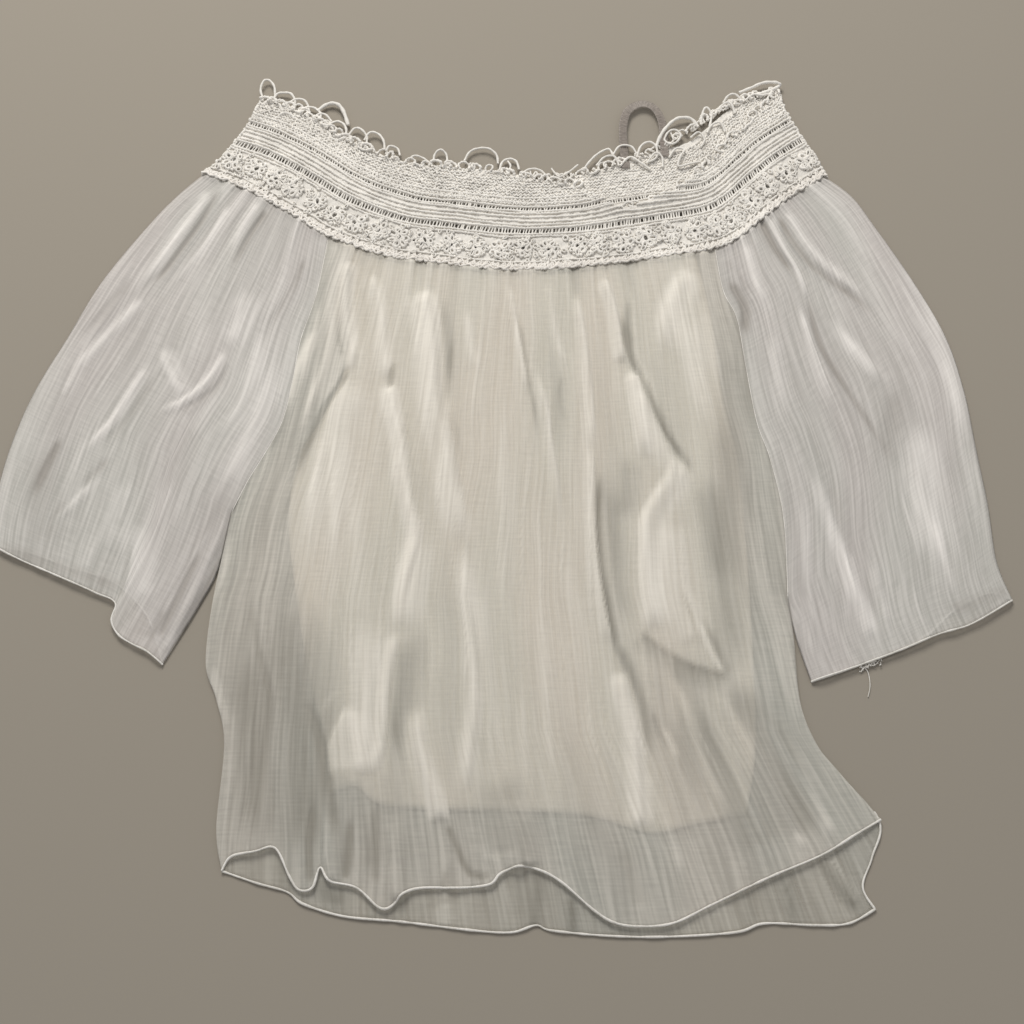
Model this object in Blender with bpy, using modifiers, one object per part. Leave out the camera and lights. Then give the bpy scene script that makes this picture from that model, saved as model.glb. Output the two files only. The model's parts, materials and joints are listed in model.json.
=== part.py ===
# Off-the-shoulder top of sheer crinkled cotton with a crochet lace neckband, laid flat, front up.
# Sizes are millimetres on the surface it lies on: x across, y towards the neck, z up.
import math

import bmesh
import bpy

MM = 0.001

WALL = 1.2            # cloth
LINING_WALL = 1.0
LACE_WALL = 1.2       # lace between its raised courses
BACK_LACE_WALL = 1.0
BACK_COURSE_HEIGHT = 0.8
GAP = 0.3             # between one piece and the next above it
SEAM = 0.5            # between two edges drawn from one line
SEAM_FLAT = 2.5       # level strip of cloth beside a side seam
EDGE_RISE = 9.0       # from there, how far in the front reaches its full height
HEM_ROLL = 0.5        # extra thickness of the rolled hem at the last row
FOLD_END = 0.15       # share of its full reach that a fold still has at its ends

BACK_TOP_Z = WALL
LINING_Z = BACK_TOP_Z + GAP
SIDE_Z = BACK_TOP_Z + GAP
FRONT_Z = LINING_Z + LINING_WALL + GAP
FRONT_LACE_Z = BACK_LACE_WALL + BACK_COURSE_HEIGHT + GAP

RAGLAN_ROWS = 12      # rows of points down the raglan seam, the same on both its sides
SIDE_ROWS = 14        # rows from underarm to hem
UNDERARM_ROWS = 7     # rows from underarm to cuff
PANEL_COLUMNS = 48
SLEEVE_COLUMNS = 14
UNDER_COLUMNS = 6
GATHER_FADE = 55.0    # how far below the band the gathers die out
PANEL_GATHERS = 24
SLEEVE_GATHERS = 7
GATHER_HEIGHT = 1.3
SLEEVE_EDGE = 3.0     # width of the rounded edge along a sleeve's fold
SLEEVE_LOFT = 1.2     # how much higher the front of a sleeve lies than its fold
FOLD_LOFT = 0.4       # inner half height of a sleeve's fold

PICOT_PITCH = 14.0
PICOT_HOLE = 2.5      # radius of the opening in a loop
PICOT_MIDDLE = 0.55   # how far up its reach a loop's opening lies
PICOT_VALLEY = 0.28   # how far up the edge lies between two loops
# Corners of a loop's outer edge: along it as a share of the pitch, and up as a share of the reach.
PICOT_CORNERS = [(-0.44, 0.45), (-0.26, 0.95), (0.26, 0.95), (0.44, 0.45)]
PICOT_HOLE_SIDES = 5
PICOT_WALL = 1.2

LOOP_WIDTH = 6.0      # hanger loop ribbon
LOOP_WALL = 1.0
LOOP_STEPS = 14

# Lines of the pattern as they lie, each a few points (x, y) from left to right or from top to bottom.
BAND_FOOT = [(-210, 223), (-185, 213), (-162, 200), (-142, 187), (-118, 171), (-81, 156), (-47, 150),
             (1, 144), (46, 145), (90, 150), (120, 155), (151, 161), (168, 170), (186, 186), (206, 203),
             (233, 221)]
BAND_LEFT = [(-210, 223), (-202, 231), (-193, 243), (-182, 262), (-176, 277), (-172, 287)]
BAND_RIGHT = [(233, 221), (229, 232), (222, 246), (214, 262), (207, 279), (204, 293.5)]
BAND_FRONT_TOP = [(-172, 287), (-151, 280), (-130, 268), (-109, 252), (-73, 235), (-34, 229), (-5, 226),
                  (30, 218), (56, 213), (72, 203), (88, 194), (104, 199), (138, 220), (169, 254),
                  (190, 279), (204, 293.5)]
BAND_BACK_TOP = [(-172, 287), (-151, 278), (-130, 265), (-109, 249), (-73, 232), (-34, 225), (-5, 221),
                 (30, 218), (66, 226), (104, 240), (122, 250), (141, 263), (160, 277), (181, 288),
                 (204, 293.5)]
# Where each row of picots starts and ends. The front's right end rolls inwards and shows none.
FRONT_PICOTS = {"from_x": -170, "to_x": 56, "reach": 11.0}
BACK_PICOTS = {"from_x": -170, "to_x": 201, "reach": 9.0}

RAGLAN_LEFT = [(-118, 171), (-124, 126), (-133, 90), (-137, 57), (-142, 29), (-151, 8), (-162, -14),
               (-171, -36)]
RAGLAN_RIGHT = [(151, 161), (155, 128), (163, 107), (167, 70), (172, 28), (179, 2), (185, -40),
                (184, -94)]
SIDE_LEFT = [(-171, -36), (-174, -59), (-179, -98), (-180, -137), (-172, -159), (-165, -187),
             (-166, -238), (-161, -263)]
SIDE_RIGHT = [(184, -94), (186, -121), (187, -161), (195, -187), (207, -204), (230, -233)]
BACK_SIDE_RIGHT = [(184, -94), (186, -121), (187, -161), (195, -187), (207, -204), (229, -233),
                   (223, -255), (216, -272), (222, -285)]
FRONT_HEM = [(-161, -263), (-156, -255), (-142, -252), (-130, -250), (-121, -266), (-115, -274),
             (-107, -273), (-103, -261), (-97, -269), (-81, -273), (-68, -284), (-61, -284),
             (-53, -276), (-42, -273), (-20, -273), (-3, -271), (3, -265), (13, -261), (24, -262),
             (38, -269), (58, -286), (70, -293), (85, -295), (104, -293), (126, -283), (161, -267),
             (193, -254), (214, -242), (230, -233)]
BACK_HEM = [(-161, -263), (-140, -270), (-122, -275), (-112, -282), (-88, -289), (-55, -292),
            (-12, -297), (10, -298), (24, -294), (33, -297), (66, -300), (100, -300.5), (140, -298),
            (157, -293), (186, -294), (206, -293), (222, -285)]

# Sleeve edges: the fold along the arm's outer side, and the underarm seam, from top to cuff.
FOLD_LEFT = [(-210, 223), (-227, 205), (-244, 182), (-272, 137), (-291, 93), (-309, 51), (-320, 10),
             (-325, -29), (-325, -57)]
FOLD_RIGHT = [(233, 221), (250, 205), (263, 182), (286, 137), (304, 93), (312, 51), (315, 10),
              (318, -30), (319, -69), (326, -95)]
UNDERARM_LEFT = [(-171, -36), (-177, -74), (-187, -98), (-196, -116), (-207, -137)]
UNDERARM_RIGHT = [(184, -94), (186, -112), (190, -130), (195, -148)]
CUFF_LEFT = [(-207, -137), (-217, -129), (-227, -124), (-236, -118), (-241, -109), (-240, -97),
             (-254, -90), (-281, -78), (-306, -67), (-325, -57)]
CUFF_RIGHT = [(195, -148), (222, -139), (252, -128), (276, -118), (298, -111), (326, -95)]
UNDER_CUFF_LEFT = [(-207, -137), (-219, -106), (-242, -83), (-268, -74), (-298, -63), (-325, -57)]
UNDER_CUFF_RIGHT = [(195, -148), (238, -133), (268, -119), (288, -102), (312, -90), (326, -95)]

# The lining's top runs along the band between two x places, and its sides start there.
LINING_TOP = (-103, 137)
LINING_LEFT = [(-101, 79), (-114, 36), (-129, 4), (-134, -40), (-126, -94), (-115, -147), (-104, -184),
               (-100, -218)]
LINING_RIGHT = [(146, 107), (150, 52), (158, 0), (160, -60), (160, -130), (158, -190), (150, -230)]
LINING_HEM = [(-100, -218), (-84, -213), (-69, -224), (-33, -227), (14, -228), (56, -231),
              (92, -241), (118, -236), (150, -230)]

# Largest folds of the front, one row each: its route, its height and its half width.
FRONT_FOLDS = [
    {"route": [(-107, 150), (-101, 85), (-117, 39), (-134, -13)], "height": 4.0, "half": 13},
    {"route": [(-88, 140), (-75, 86), (-60, 7), (-50, -64), (-62, -110), (-70, -224)], "height": 6.0,
     "half": 16},
    {"route": [(-51, 135), (-43, 36), (-18, -56), (-22, -102), (-12, -151)], "height": 5.0, "half": 15},
    {"route": [(-43, -160), (-38, -207), (-19, -262)], "height": 5.0, "half": 15},
    {"route": [(11, 128), (24, 30), (27, -48), (22, -130)], "height": 3.5, "half": 13},
    {"route": [(31, 90), (37, 4), (44, -70)], "height": 3.0, "half": 11},
    {"route": [(54, 130), (64, 4), (64, -72), (76, -138), (87, -239)], "height": 6.0, "half": 16},
    {"route": [(75, 140), (85, 85), (104, 39), (128, -5), (136, -60)], "height": 5.0, "half": 15},
    {"route": [(69, -104), (90, -145), (111, -197)], "height": 4.0, "half": 12},
    {"route": [(88, -112), (118, -130), (150, -150)], "height": 4.5, "half": 14},
    {"route": [(120, 120), (132, 60), (150, -10), (158, -90)], "height": 3.5, "half": 13},
    {"route": [(-140, -30), (-150, -110), (-142, -190), (-138, -244)], "height": 3.5, "half": 14},
    {"route": [(-94, -150), (-103, -199), (-104, -258)], "height": 4.5, "half": 13},
    {"route": [(4, -170), (14, -215), (14, -258)], "height": 4.0, "half": 14},
    {"route": [(120, -215), (150, -240), (190, -248)], "height": 3.0, "half": 13},
]
LEFT_SLEEVE_FOLDS = [
    {"route": [(-195, 205), (-214, 170), (-246, 125), (-284, 90)], "height": 4.5, "half": 14},
    {"route": [(-162, 185), (-178, 150), (-205, 95), (-236, 55), (-276, -3)], "height": 5.0, "half": 15},
    {"route": [(-135, 165), (-150, 110), (-172, 50), (-205, -15), (-233, -70)], "height": 4.5,
     "half": 15},
    {"route": [(-165, 10), (-187, -61), (-207, -125)], "height": 4.0, "half": 11},
    {"route": [(-224, 82), (-262, 20), (-292, -50)], "height": 3.5, "half": 13},
]
RIGHT_SLEEVE_FOLDS = [
    {"route": [(203, 190), (212, 160), (227, 142), (262, 100), (292, 40)], "height": 4.5, "half": 14},
    {"route": [(186, 175), (200, 135), (218, 85), (237, 49), (257, 3), (282, -80)], "height": 5.0,
     "half": 15},
    {"route": [(172, 150), (190, 100), (212, 70), (211, -6), (220, -57), (228, -120)], "height": 5.0,
     "half": 14},
    {"route": [(240, 190), (262, 150), (290, 95)], "height": 3.5, "half": 13},
    {"route": [(192, 20), (200, -60), (206, -130)], "height": 3.0, "half": 10},
]

# Courses of the front lace, from its foot up: place as a share of the height, height above the wall,
# and how much of that height comes and goes with the blossoms.
LACE_COURSES = [
    {"at": 0.00, "height": 0.3, "blossom": 0.0},
    {"at": 0.07, "height": 1.0, "blossom": 0.5},
    {"at": 0.19, "height": 1.0, "blossom": 1.0},
    {"at": 0.28, "height": 1.5, "blossom": 0.8},
    {"at": 0.36, "height": 0.9, "blossom": 1.0},
    {"at": 0.42, "height": 0.1, "blossom": 0.0},
    {"at": 0.47, "height": 1.0, "blossom": 0.0},
    {"at": 0.53, "height": 0.0, "blossom": 0.0},
    {"at": 0.60, "height": 1.1, "blossom": 0.0},
    {"at": 0.66, "height": 0.3, "blossom": 0.0},
    {"at": 0.72, "height": 1.0, "blossom": 0.0},
    {"at": 0.79, "height": 0.0, "blossom": 0.0},
    {"at": 0.86, "height": 1.1, "blossom": 0.0},
    {"at": 0.93, "height": 0.3, "blossom": 0.0},
    {"at": 1.00, "height": 0.9, "blossom": 0.0},
]
BLOSSOMS = 27
BLOSSOM_COLUMNS = 4
BACK_COURSES = 6
BACK_LACE_COLUMNS = 36

# Hanger loop: the middle of the ribbon from one foot to the other.
LOOP_ROUTE = [(91, 228), (90, 246), (90, 264), (94, 277), (104, 283), (113, 279), (118, 267),
              (119, 250), (119, 238)]

COTTON = (0.62, 0.58, 0.51)
LINING_CREAM = (0.78, 0.70, 0.58)
LACE_WHITE = (0.80, 0.76, 0.70)
RIBBON_GREY = (0.36, 0.32, 0.29)


def clear_scene():
    for item in list(bpy.data.objects):
        bpy.data.objects.remove(item)


def material(name, colour, roughness):
    made = bpy.data.materials.new(name)
    made.use_nodes = True
    shader = made.node_tree.nodes["Principled BSDF"]
    shader.inputs["Base Color"].default_value = (*colour, 1.0)
    shader.inputs["Roughness"].default_value = roughness
    shader.inputs["Metallic"].default_value = 0.0
    return made


def ease(t):
    t = min(max(t, 0.0), 1.0)
    return t * t * (3.0 - 2.0 * t)


def mix(a, b, t):
    return (a[0] + (b[0] - a[0]) * t, a[1] + (b[1] - a[1]) * t)


class Line:
    """A smooth line through a few points, read by its share of the length."""

    STEPS = 14

    def __init__(self, points):
        self.points = []
        ends = [points[0]] + list(points) + [points[-1]]
        for before, start, stop, after in zip(ends, ends[1:], ends[2:], ends[3:]):
            for step in range(self.STEPS):
                self.points.append(self.spline(before, start, stop, after, step / self.STEPS))
        self.points.append(points[-1])
        self.lengths = [0.0]
        for a, b in zip(self.points, self.points[1:]):
            self.lengths.append(self.lengths[-1] + math.dist(a, b))

    @staticmethod
    def spline(a, b, c, d, t):
        return tuple(
            0.5 * (2 * b[k] + (c[k] - a[k]) * t + (2 * a[k] - 5 * b[k] + 4 * c[k] - d[k]) * t * t
                   + (3 * b[k] - a[k] - 3 * c[k] + d[k]) * t ** 3)
            for k in (0, 1))

    @property
    def length(self):
        return self.lengths[-1]

    def at(self, share):
        target = min(max(share, 0.0), 1.0) * self.length
        for k in range(1, len(self.lengths)):
            if self.lengths[k] >= target:
                part = (target - self.lengths[k - 1]) / max(self.lengths[k] - self.lengths[k - 1], 1e-9)
                return mix(self.points[k - 1], self.points[k], part)
        return self.points[-1]

    def share_at_x(self, x):
        for k in range(1, len(self.points)):
            if self.points[k][0] >= x:
                a, b = self.points[k - 1][0], self.points[k][0]
                part = (x - a) / max(b - a, 1e-9)
                return (self.lengths[k - 1] + part * (self.lengths[k] - self.lengths[k - 1])) / self.length
        return 1.0


def patch(top, bottom, left, right):
    """Place on the sheet spanned by four edges: u from left to right, v from top to bottom."""
    corners = (top(0.0), top(1.0), bottom(0.0), bottom(1.0))

    def place(u, v):
        point = []
        for k in (0, 1):
            across = (1 - v) * top(u)[k] + v * bottom(u)[k]
            down = (1 - u) * left(v)[k] + u * right(v)[k]
            flat = ((1 - u) * (1 - v) * corners[0][k] + u * (1 - v) * corners[1][k]
                    + (1 - u) * v * corners[2][k] + u * v * corners[3][k])
            point.append(across + down - flat)
        return tuple(point)
    return place


def stretch(line, start, stop):
    """A stretch of a line between two shares, which may run backwards."""
    return lambda t: line.at(start + (stop - start) * t)


def joined(upper, upper_rows, lower, lower_rows):
    """Two lines end to end, read so that each keeps its own even rows."""
    rows = upper_rows + lower_rows

    def at(t):
        row = t * rows
        if row <= upper_rows:
            return upper.at(row / upper_rows)
        return lower.at((row - upper_rows) / lower_rows)
    return at


def moved(line, dx=0.0, dy=0.0):
    def at(t):
        x, y = line(t)
        return (x + dx, y + dy)
    return at


def fold_height(x, y, folds):
    """Height of the highest fold over a place. A fold fades over the first and last quarter of its route."""
    best = 0.0
    for fold in folds:
        route, half = fold["route"], fold["half"]
        lengths = [math.dist(a, b) for a, b in zip(route, route[1:])]
        whole, done = sum(lengths), 0.0
        for (a, b), length in zip(zip(route, route[1:]), lengths):
            along = ((x - a[0]) * (b[0] - a[0]) + (y - a[1]) * (b[1] - a[1])) / length ** 2
            along = min(max(along, 0.0), 1.0)
            away = math.dist((x, y), mix(a, b, along))
            if away < half:
                share = (done + along * length) / whole
                fade = ease(min(share, 1 - share) * 4 + FOLD_END)
                best = max(best, fold["height"] * fade * (0.5 + 0.5 * math.cos(math.pi * away / half)))
            done += length
    return best


def sheet(name, us, vs, place, thickness, finish, weld=False):
    """A grid laid through place(u, v), given its wall outwards from that surface."""
    mesh = bpy.data.meshes.new(name)
    grid = bmesh.new()
    bmesh.ops.create_grid(grid, x_segments=len(us) - 1, y_segments=len(vs) - 1, size=1.0)
    layer = grid.verts.layers.deform.new()
    most = max(thickness(u, v) for u in us for v in vs)
    for vert in grid.verts:
        u = us[round((vert.co.x + 1) / 2 * (len(us) - 1))]
        v = vs[round((vert.co.y + 1) / 2 * (len(vs) - 1))]
        vert.co = [size * MM for size in place(u, v)]
        vert[layer][0] = thickness(u, v) / most
    if weld:
        bmesh.ops.remove_doubles(grid, verts=grid.verts, dist=0.01 * MM)
    grid.faces.ensure_lookup_table()
    grid.normal_update()
    if grid.faces[0].normal.z < 0:
        bmesh.ops.reverse_faces(grid, faces=grid.faces)
    grid.to_mesh(mesh)
    grid.free()
    made = bpy.data.objects.new(name, mesh)
    made.vertex_groups.new(name="wall")
    made.data.materials.append(finish)
    wall = made.modifiers.new("wall", "SOLIDIFY")
    wall.thickness = most * MM
    wall.offset = 1.0
    wall.vertex_group = "wall"
    model.objects.link(made)
    return made


def even(count):
    return [step / count for step in range(count + 1)]


def plate(name, outline, holes, low, thick, finish):
    """A flat piece of even thickness with holes through it."""
    curve = bpy.data.curves.new(name, "CURVE")
    curve.dimensions = "2D"
    curve.fill_mode = "BOTH"
    curve.extrude = thick / 2 * MM
    for points in [outline] + holes:
        spline = curve.splines.new("POLY")
        spline.points.add(len(points) - 1)
        for point, (x, y) in zip(spline.points, points):
            point.co = (x * MM, y * MM, 0.0, 1.0)
        spline.use_cyclic_u = True
    made = bpy.data.objects.new(name, curve)
    made.location.z = (low + thick / 2) * MM
    made.data.materials.append(finish)
    model.objects.link(made)
    return made


def make_body(cotton):
    foot = Line(BAND_FOOT)
    ends = (RAGLAN_LEFT[0][0], RAGLAN_RIGHT[0][0])
    top = moved(stretch(foot, *(foot.share_at_x(x) for x in ends)), dy=-SEAM)
    left_seam, right_seam = Line(RAGLAN_LEFT), Line(RAGLAN_RIGHT)
    left = joined(left_seam, RAGLAN_ROWS, Line(SIDE_LEFT), SIDE_ROWS)
    rows = even(RAGLAN_ROWS + SIDE_ROWS)
    front_right = joined(right_seam, RAGLAN_ROWS, Line(SIDE_RIGHT), SIDE_ROWS)
    back_right = joined(right_seam, RAGLAN_ROWS, Line(BACK_SIDE_RIGHT), SIDE_ROWS)
    left, front_right, back_right = (moved(line, dy=-SEAM) for line in (left, front_right, back_right))

    back = patch(top, moved(Line(BACK_HEM).at, dy=-SEAM), left, back_right)
    front = patch(top, moved(Line(FRONT_HEM).at, dy=-SEAM), left, front_right)

    def on_surface(u, v):
        return (*back(u, v), 0.0)

    def over(u, v):
        x, y = front(u, v)
        width = math.dist(left(v), front_right(v))
        inward = ease((min(u, 1 - u) * width - SEAM_FLAT) / EDGE_RISE)
        below = math.dist((x, y), top(u))
        gather = 0.5 + 0.5 * math.cos(2 * math.pi * PANEL_GATHERS * u)
        gather *= GATHER_HEIGHT * math.exp(-below / GATHER_FADE)
        height = max(fold_height(x, y, FRONT_FOLDS), gather)
        return (x, y, SIDE_Z + (FRONT_Z - SIDE_Z + height) * inward)

    def hemmed(u, v):
        return WALL + (HEM_ROLL if v == 1.0 else 0.0)

    sheet("back_panel", even(PANEL_COLUMNS // 2), rows, on_surface, lambda u, v: WALL, cotton)
    columns = even(PANEL_COLUMNS)
    flat = SEAM_FLAT / math.dist(left(0.5), front_right(0.5))
    columns[1:1] = [flat]
    columns[-1:-1] = [1 - flat]
    sheet("front_panel", columns, rows, over, hemmed, cotton)


def make_lining(cream):
    foot = Line(BAND_FOOT)
    top = moved(stretch(foot, *(foot.share_at_x(x) for x in LINING_TOP)), dy=-SEAM)
    left, right = Line([top(0.0)] + LINING_LEFT), Line([top(1.0)] + LINING_RIGHT)
    place = patch(top, Line(LINING_HEM).at, left.at, right.at)
    sheet("lining", even(24), even(16), lambda u, v: (*place(u, v), LINING_Z), lambda u, v: LINING_WALL,
          cream)


def make_sleeve(name, side, seam, fold, underarm, cuff, under_cuff, folds, cotton):
    foot = Line(BAND_FOOT)
    ends = (seam[0][0], fold[0][0])
    top = moved(stretch(foot, *(foot.share_at_x(x) for x in ends)), dy=-SEAM)
    inner = moved(joined(Line(seam), RAGLAN_ROWS, Line(underarm), UNDERARM_ROWS), dx=side * SEAM, dy=-SEAM)
    outer = moved(Line(fold).at, dy=-SEAM)
    upper = patch(top, moved(Line(cuff).at, dy=-SEAM), inner, outer)
    lower = patch(top, moved(Line(under_cuff).at, dy=-SEAM), inner, outer)
    closed_from = RAGLAN_ROWS / (RAGLAN_ROWS + UNDERARM_ROWS)
    rows = even(RAGLAN_ROWS + UNDERARM_ROWS)
    # Round the tube: up the front half from its seam to the fold, then back along the under half.
    around = [("seam", 0.0), ("upper", "near")]
    around += [("upper", step / SLEEVE_COLUMNS) for step in range(1, SLEEVE_COLUMNS)]
    around += [("upper", "far"), ("fold", 1.0), ("lower", "far")]
    around += [("lower", 1 - step / UNDER_COLUMNS) for step in range(1, UNDER_COLUMNS)]
    around += [("lower", "near"), ("under seam", 0.0)]

    def place(column, v):
        layer, column_share = around[round(column * (len(around) - 1))]
        span = math.dist(inner(v), outer(v))
        edge = SLEEVE_EDGE / span
        closed = v > closed_from - 1e-6
        share = {"near": edge, "far": 1 - edge}.get(column_share, column_share)
        inset = WALL / span
        if layer == "fold":
            return (*upper(1 - inset, v), SIDE_Z + FOLD_LOFT)
        if layer in ("seam", "under seam") and closed:
            return (*upper(inset, v), SIDE_Z + FOLD_LOFT / 2)
        if layer in ("lower", "under seam"):
            return (*lower(share, v), WALL)
        x, y = upper(share, v)
        if layer == "seam" or (column_share == "near" and not closed):
            return (x, y, SIDE_Z)
        below = math.dist((x, y), top(share))
        gather = 0.5 - 0.5 * math.cos(2 * math.pi * SLEEVE_GATHERS * share)
        height = max(fold_height(x, y, folds), gather * GATHER_HEIGHT * math.exp(-below / GATHER_FADE))
        inward = ease((min(share, 1 - share) * span + SLEEVE_EDGE) / EDGE_RISE)
        return (x, y, SIDE_Z + FOLD_LOFT + (SLEEVE_LOFT + height) * inward)

    sheet(name, even(len(around) - 1), rows, place, lambda u, v: WALL, cotton, weld=True)


def lace_relief(share, columns, column):
    """Height of the lace over its wall at a course, and along it where blossoms come and go."""
    course = min(LACE_COURSES, key=lambda row: abs(row["at"] - share))
    wave = 0.5 + 0.5 * math.cos(2 * math.pi * column / columns * BLOSSOMS)
    return course["height"] * (1 - course["blossom"] * (1 - wave))


def make_bands(lace):
    foot, left, right = Line(BAND_FOOT), Line(BAND_LEFT), Line(BAND_RIGHT)
    columns = BLOSSOMS * BLOSSOM_COLUMNS

    front = patch(foot.at, Line(BAND_FRONT_TOP).at, left.at, right.at)
    sheet("band_front", even(columns), [row["at"] for row in LACE_COURSES],
          lambda u, v: (*front(u, v), FRONT_LACE_Z),
          lambda u, v: LACE_WALL + lace_relief(v, columns, round(u * columns)), lace)

    back = patch(foot.at, Line(BAND_BACK_TOP).at, left.at, right.at)
    sheet("band_back", even(BACK_LACE_COLUMNS), even(2 * BACK_COURSES),
          lambda u, v: (*back(u, v), 0.0),
          lambda u, v: BACK_LACE_WALL + BACK_COURSE_HEIGHT * (round(v * 2 * BACK_COURSES) % 2), lace)


def make_picots(name, edge, picots, low, lace):
    """A row of small loops on a narrow strip along the top edge of a band."""
    line, reach = Line(edge), picots["reach"]
    first, last = line.share_at_x(picots["from_x"]), line.share_at_x(picots["to_x"])
    count = round((last - first) * line.length / PICOT_PITCH)
    strip, tips, holes = [], [], []
    for k in range(count):
        for part in (0.0, 0.5):
            x, y = line.at(first + (last - first) * (k + part) / count)
            strip.append((x, y + SEAM))
        middle = line.at(first + (last - first) * (k + 0.5) / count)
        a = line.at(first + (last - first) * k / count)
        b = line.at(first + (last - first) * (k + 1) / count)
        length = math.dist(a, b)
        along = ((b[0] - a[0]) / length, (b[1] - a[1]) / length)
        up = (-along[1], along[0])

        def spot(sideways, above):
            return (middle[0] + along[0] * sideways + up[0] * above,
                    middle[1] + along[1] * sideways + up[1] * above)
        for sideways, above in PICOT_CORNERS:
            tips.append(spot(sideways * length, SEAM + above * reach))
        if k + 1 < count:
            tips.append(spot(length / 2, SEAM + PICOT_VALLEY * reach))
        turns = [2 * math.pi * corner / PICOT_HOLE_SIDES for corner in range(PICOT_HOLE_SIDES)]
        holes.append([spot(PICOT_HOLE * math.cos(turn),
                           SEAM + PICOT_MIDDLE * reach + PICOT_HOLE * math.sin(turn))
                      for turn in turns])
    x, y = line.at(last)
    strip.append((x, y + SEAM))
    plate(name, strip + tips[::-1], holes, low, PICOT_WALL, lace)


def make_hanger_loop(ribbon):
    line = Line(LOOP_ROUTE)
    sides = {1: [], -1: []}
    for step in range(LOOP_STEPS + 1):
        share = step / LOOP_STEPS
        a, b = line.at(share - 0.2 / LOOP_STEPS), line.at(share + 0.2 / LOOP_STEPS)
        x, y = line.at(share)
        length = math.dist(a, b)
        for side, points in sides.items():
            points.append((x - side * (b[1] - a[1]) / length * LOOP_WIDTH / 2,
                           y + side * (b[0] - a[0]) / length * LOOP_WIDTH / 2))
    plate("hanger_loop", sides[1] + sides[-1][::-1], [], FRONT_LACE_Z, LOOP_WALL, ribbon)


clear_scene()
model = bpy.data.collections.new("gauze_top")
bpy.context.scene.collection.children.link(model)
cotton_cloth = material("cotton_gauze", COTTON, 0.9)
lining_cloth = material("lining_cotton", LINING_CREAM, 0.9)
lace_thread = material("crochet_cotton", LACE_WHITE, 0.85)
ribbon_tape = material("grey_ribbon", RIBBON_GREY, 0.6)

make_body(cotton_cloth)
make_lining(lining_cloth)
make_sleeve("sleeve_left", -1, RAGLAN_LEFT, FOLD_LEFT, UNDERARM_LEFT, CUFF_LEFT, UNDER_CUFF_LEFT,
            LEFT_SLEEVE_FOLDS, cotton_cloth)
make_sleeve("sleeve_right", 1, RAGLAN_RIGHT, FOLD_RIGHT, UNDERARM_RIGHT, CUFF_RIGHT, UNDER_CUFF_RIGHT,
            RIGHT_SLEEVE_FOLDS, cotton_cloth)
make_bands(lace_thread)
make_picots("picots_front", BAND_FRONT_TOP, FRONT_PICOTS, FRONT_LACE_Z, lace_thread)
make_picots("picots_back", BAND_BACK_TOP, BACK_PICOTS, 0.0, lace_thread)
make_hanger_loop(ribbon_tape)
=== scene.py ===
# Looks of an off-the-shoulder top of sheer crinkled cotton with a crochet lace neckband, laid flat.
# Tables are in millimetres as the top lies: x across, y towards the neck, z up. Meshes are in metres.
import json
import math
import random

import bpy
import numpy as np
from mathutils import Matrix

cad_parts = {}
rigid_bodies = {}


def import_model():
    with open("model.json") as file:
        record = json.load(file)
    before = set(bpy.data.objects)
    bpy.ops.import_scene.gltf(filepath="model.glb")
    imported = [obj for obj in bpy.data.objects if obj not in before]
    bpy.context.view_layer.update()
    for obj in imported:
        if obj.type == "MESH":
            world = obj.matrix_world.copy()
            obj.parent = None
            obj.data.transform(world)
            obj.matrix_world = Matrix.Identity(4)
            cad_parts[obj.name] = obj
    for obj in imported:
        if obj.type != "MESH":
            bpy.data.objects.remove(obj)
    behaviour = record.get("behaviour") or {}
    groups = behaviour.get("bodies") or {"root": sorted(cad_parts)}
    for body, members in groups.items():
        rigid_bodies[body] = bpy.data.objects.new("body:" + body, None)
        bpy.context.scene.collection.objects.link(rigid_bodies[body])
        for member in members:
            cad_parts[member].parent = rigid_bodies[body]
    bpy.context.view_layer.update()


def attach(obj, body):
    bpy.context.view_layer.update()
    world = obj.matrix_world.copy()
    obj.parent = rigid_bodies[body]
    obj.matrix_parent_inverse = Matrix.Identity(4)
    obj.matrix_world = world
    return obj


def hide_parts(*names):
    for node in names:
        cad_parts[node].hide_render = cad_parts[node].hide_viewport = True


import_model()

millimetre = 0.001

# Lines of the pattern as they lie, the same as in the part's source.
bandFoot = [(-210, 223), (-185, 213), (-162, 200), (-142, 187), (-118, 171), (-81, 156), (-47, 150),
            (1, 144), (46, 145), (90, 150), (120, 155), (151, 161), (168, 170), (186, 186), (206, 203),
            (233, 221)]
bandLeft = [(-210, 223), (-202, 231), (-193, 243), (-182, 262), (-176, 277), (-172, 287)]
bandRight = [(233, 221), (229, 232), (222, 246), (214, 262), (207, 279), (204, 293.5)]
bandFrontTop = [(-172, 287), (-151, 280), (-130, 268), (-109, 252), (-73, 235), (-34, 229), (-5, 226),
                (30, 218), (56, 213), (72, 203), (88, 194), (104, 199), (138, 220), (169, 254),
                (190, 279), (204, 293.5)]
bandBackTop = [(-172, 287), (-151, 278), (-130, 265), (-109, 249), (-73, 232), (-34, 225), (-5, 221),
               (30, 218), (66, 226), (104, 240), (122, 250), (141, 263), (160, 277), (181, 288),
               (204, 293.5)]
raglanLeft = [(-118, 171), (-124, 126), (-133, 90), (-137, 57), (-142, 29), (-151, 8), (-162, -14),
              (-171, -36)]
raglanRight = [(151, 161), (155, 128), (163, 107), (167, 70), (172, 28), (179, 2), (185, -40),
               (184, -94)]
sideLeft = [(-171, -36), (-174, -59), (-179, -98), (-180, -137), (-172, -159), (-165, -187),
            (-166, -238), (-161, -263)]
sideRight = [(184, -94), (186, -121), (187, -161), (195, -187), (207, -204), (230, -233)]
backSideRight = [(184, -94), (186, -121), (187, -161), (195, -187), (207, -204), (229, -233),
                 (223, -255), (216, -272), (222, -285)]
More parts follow.
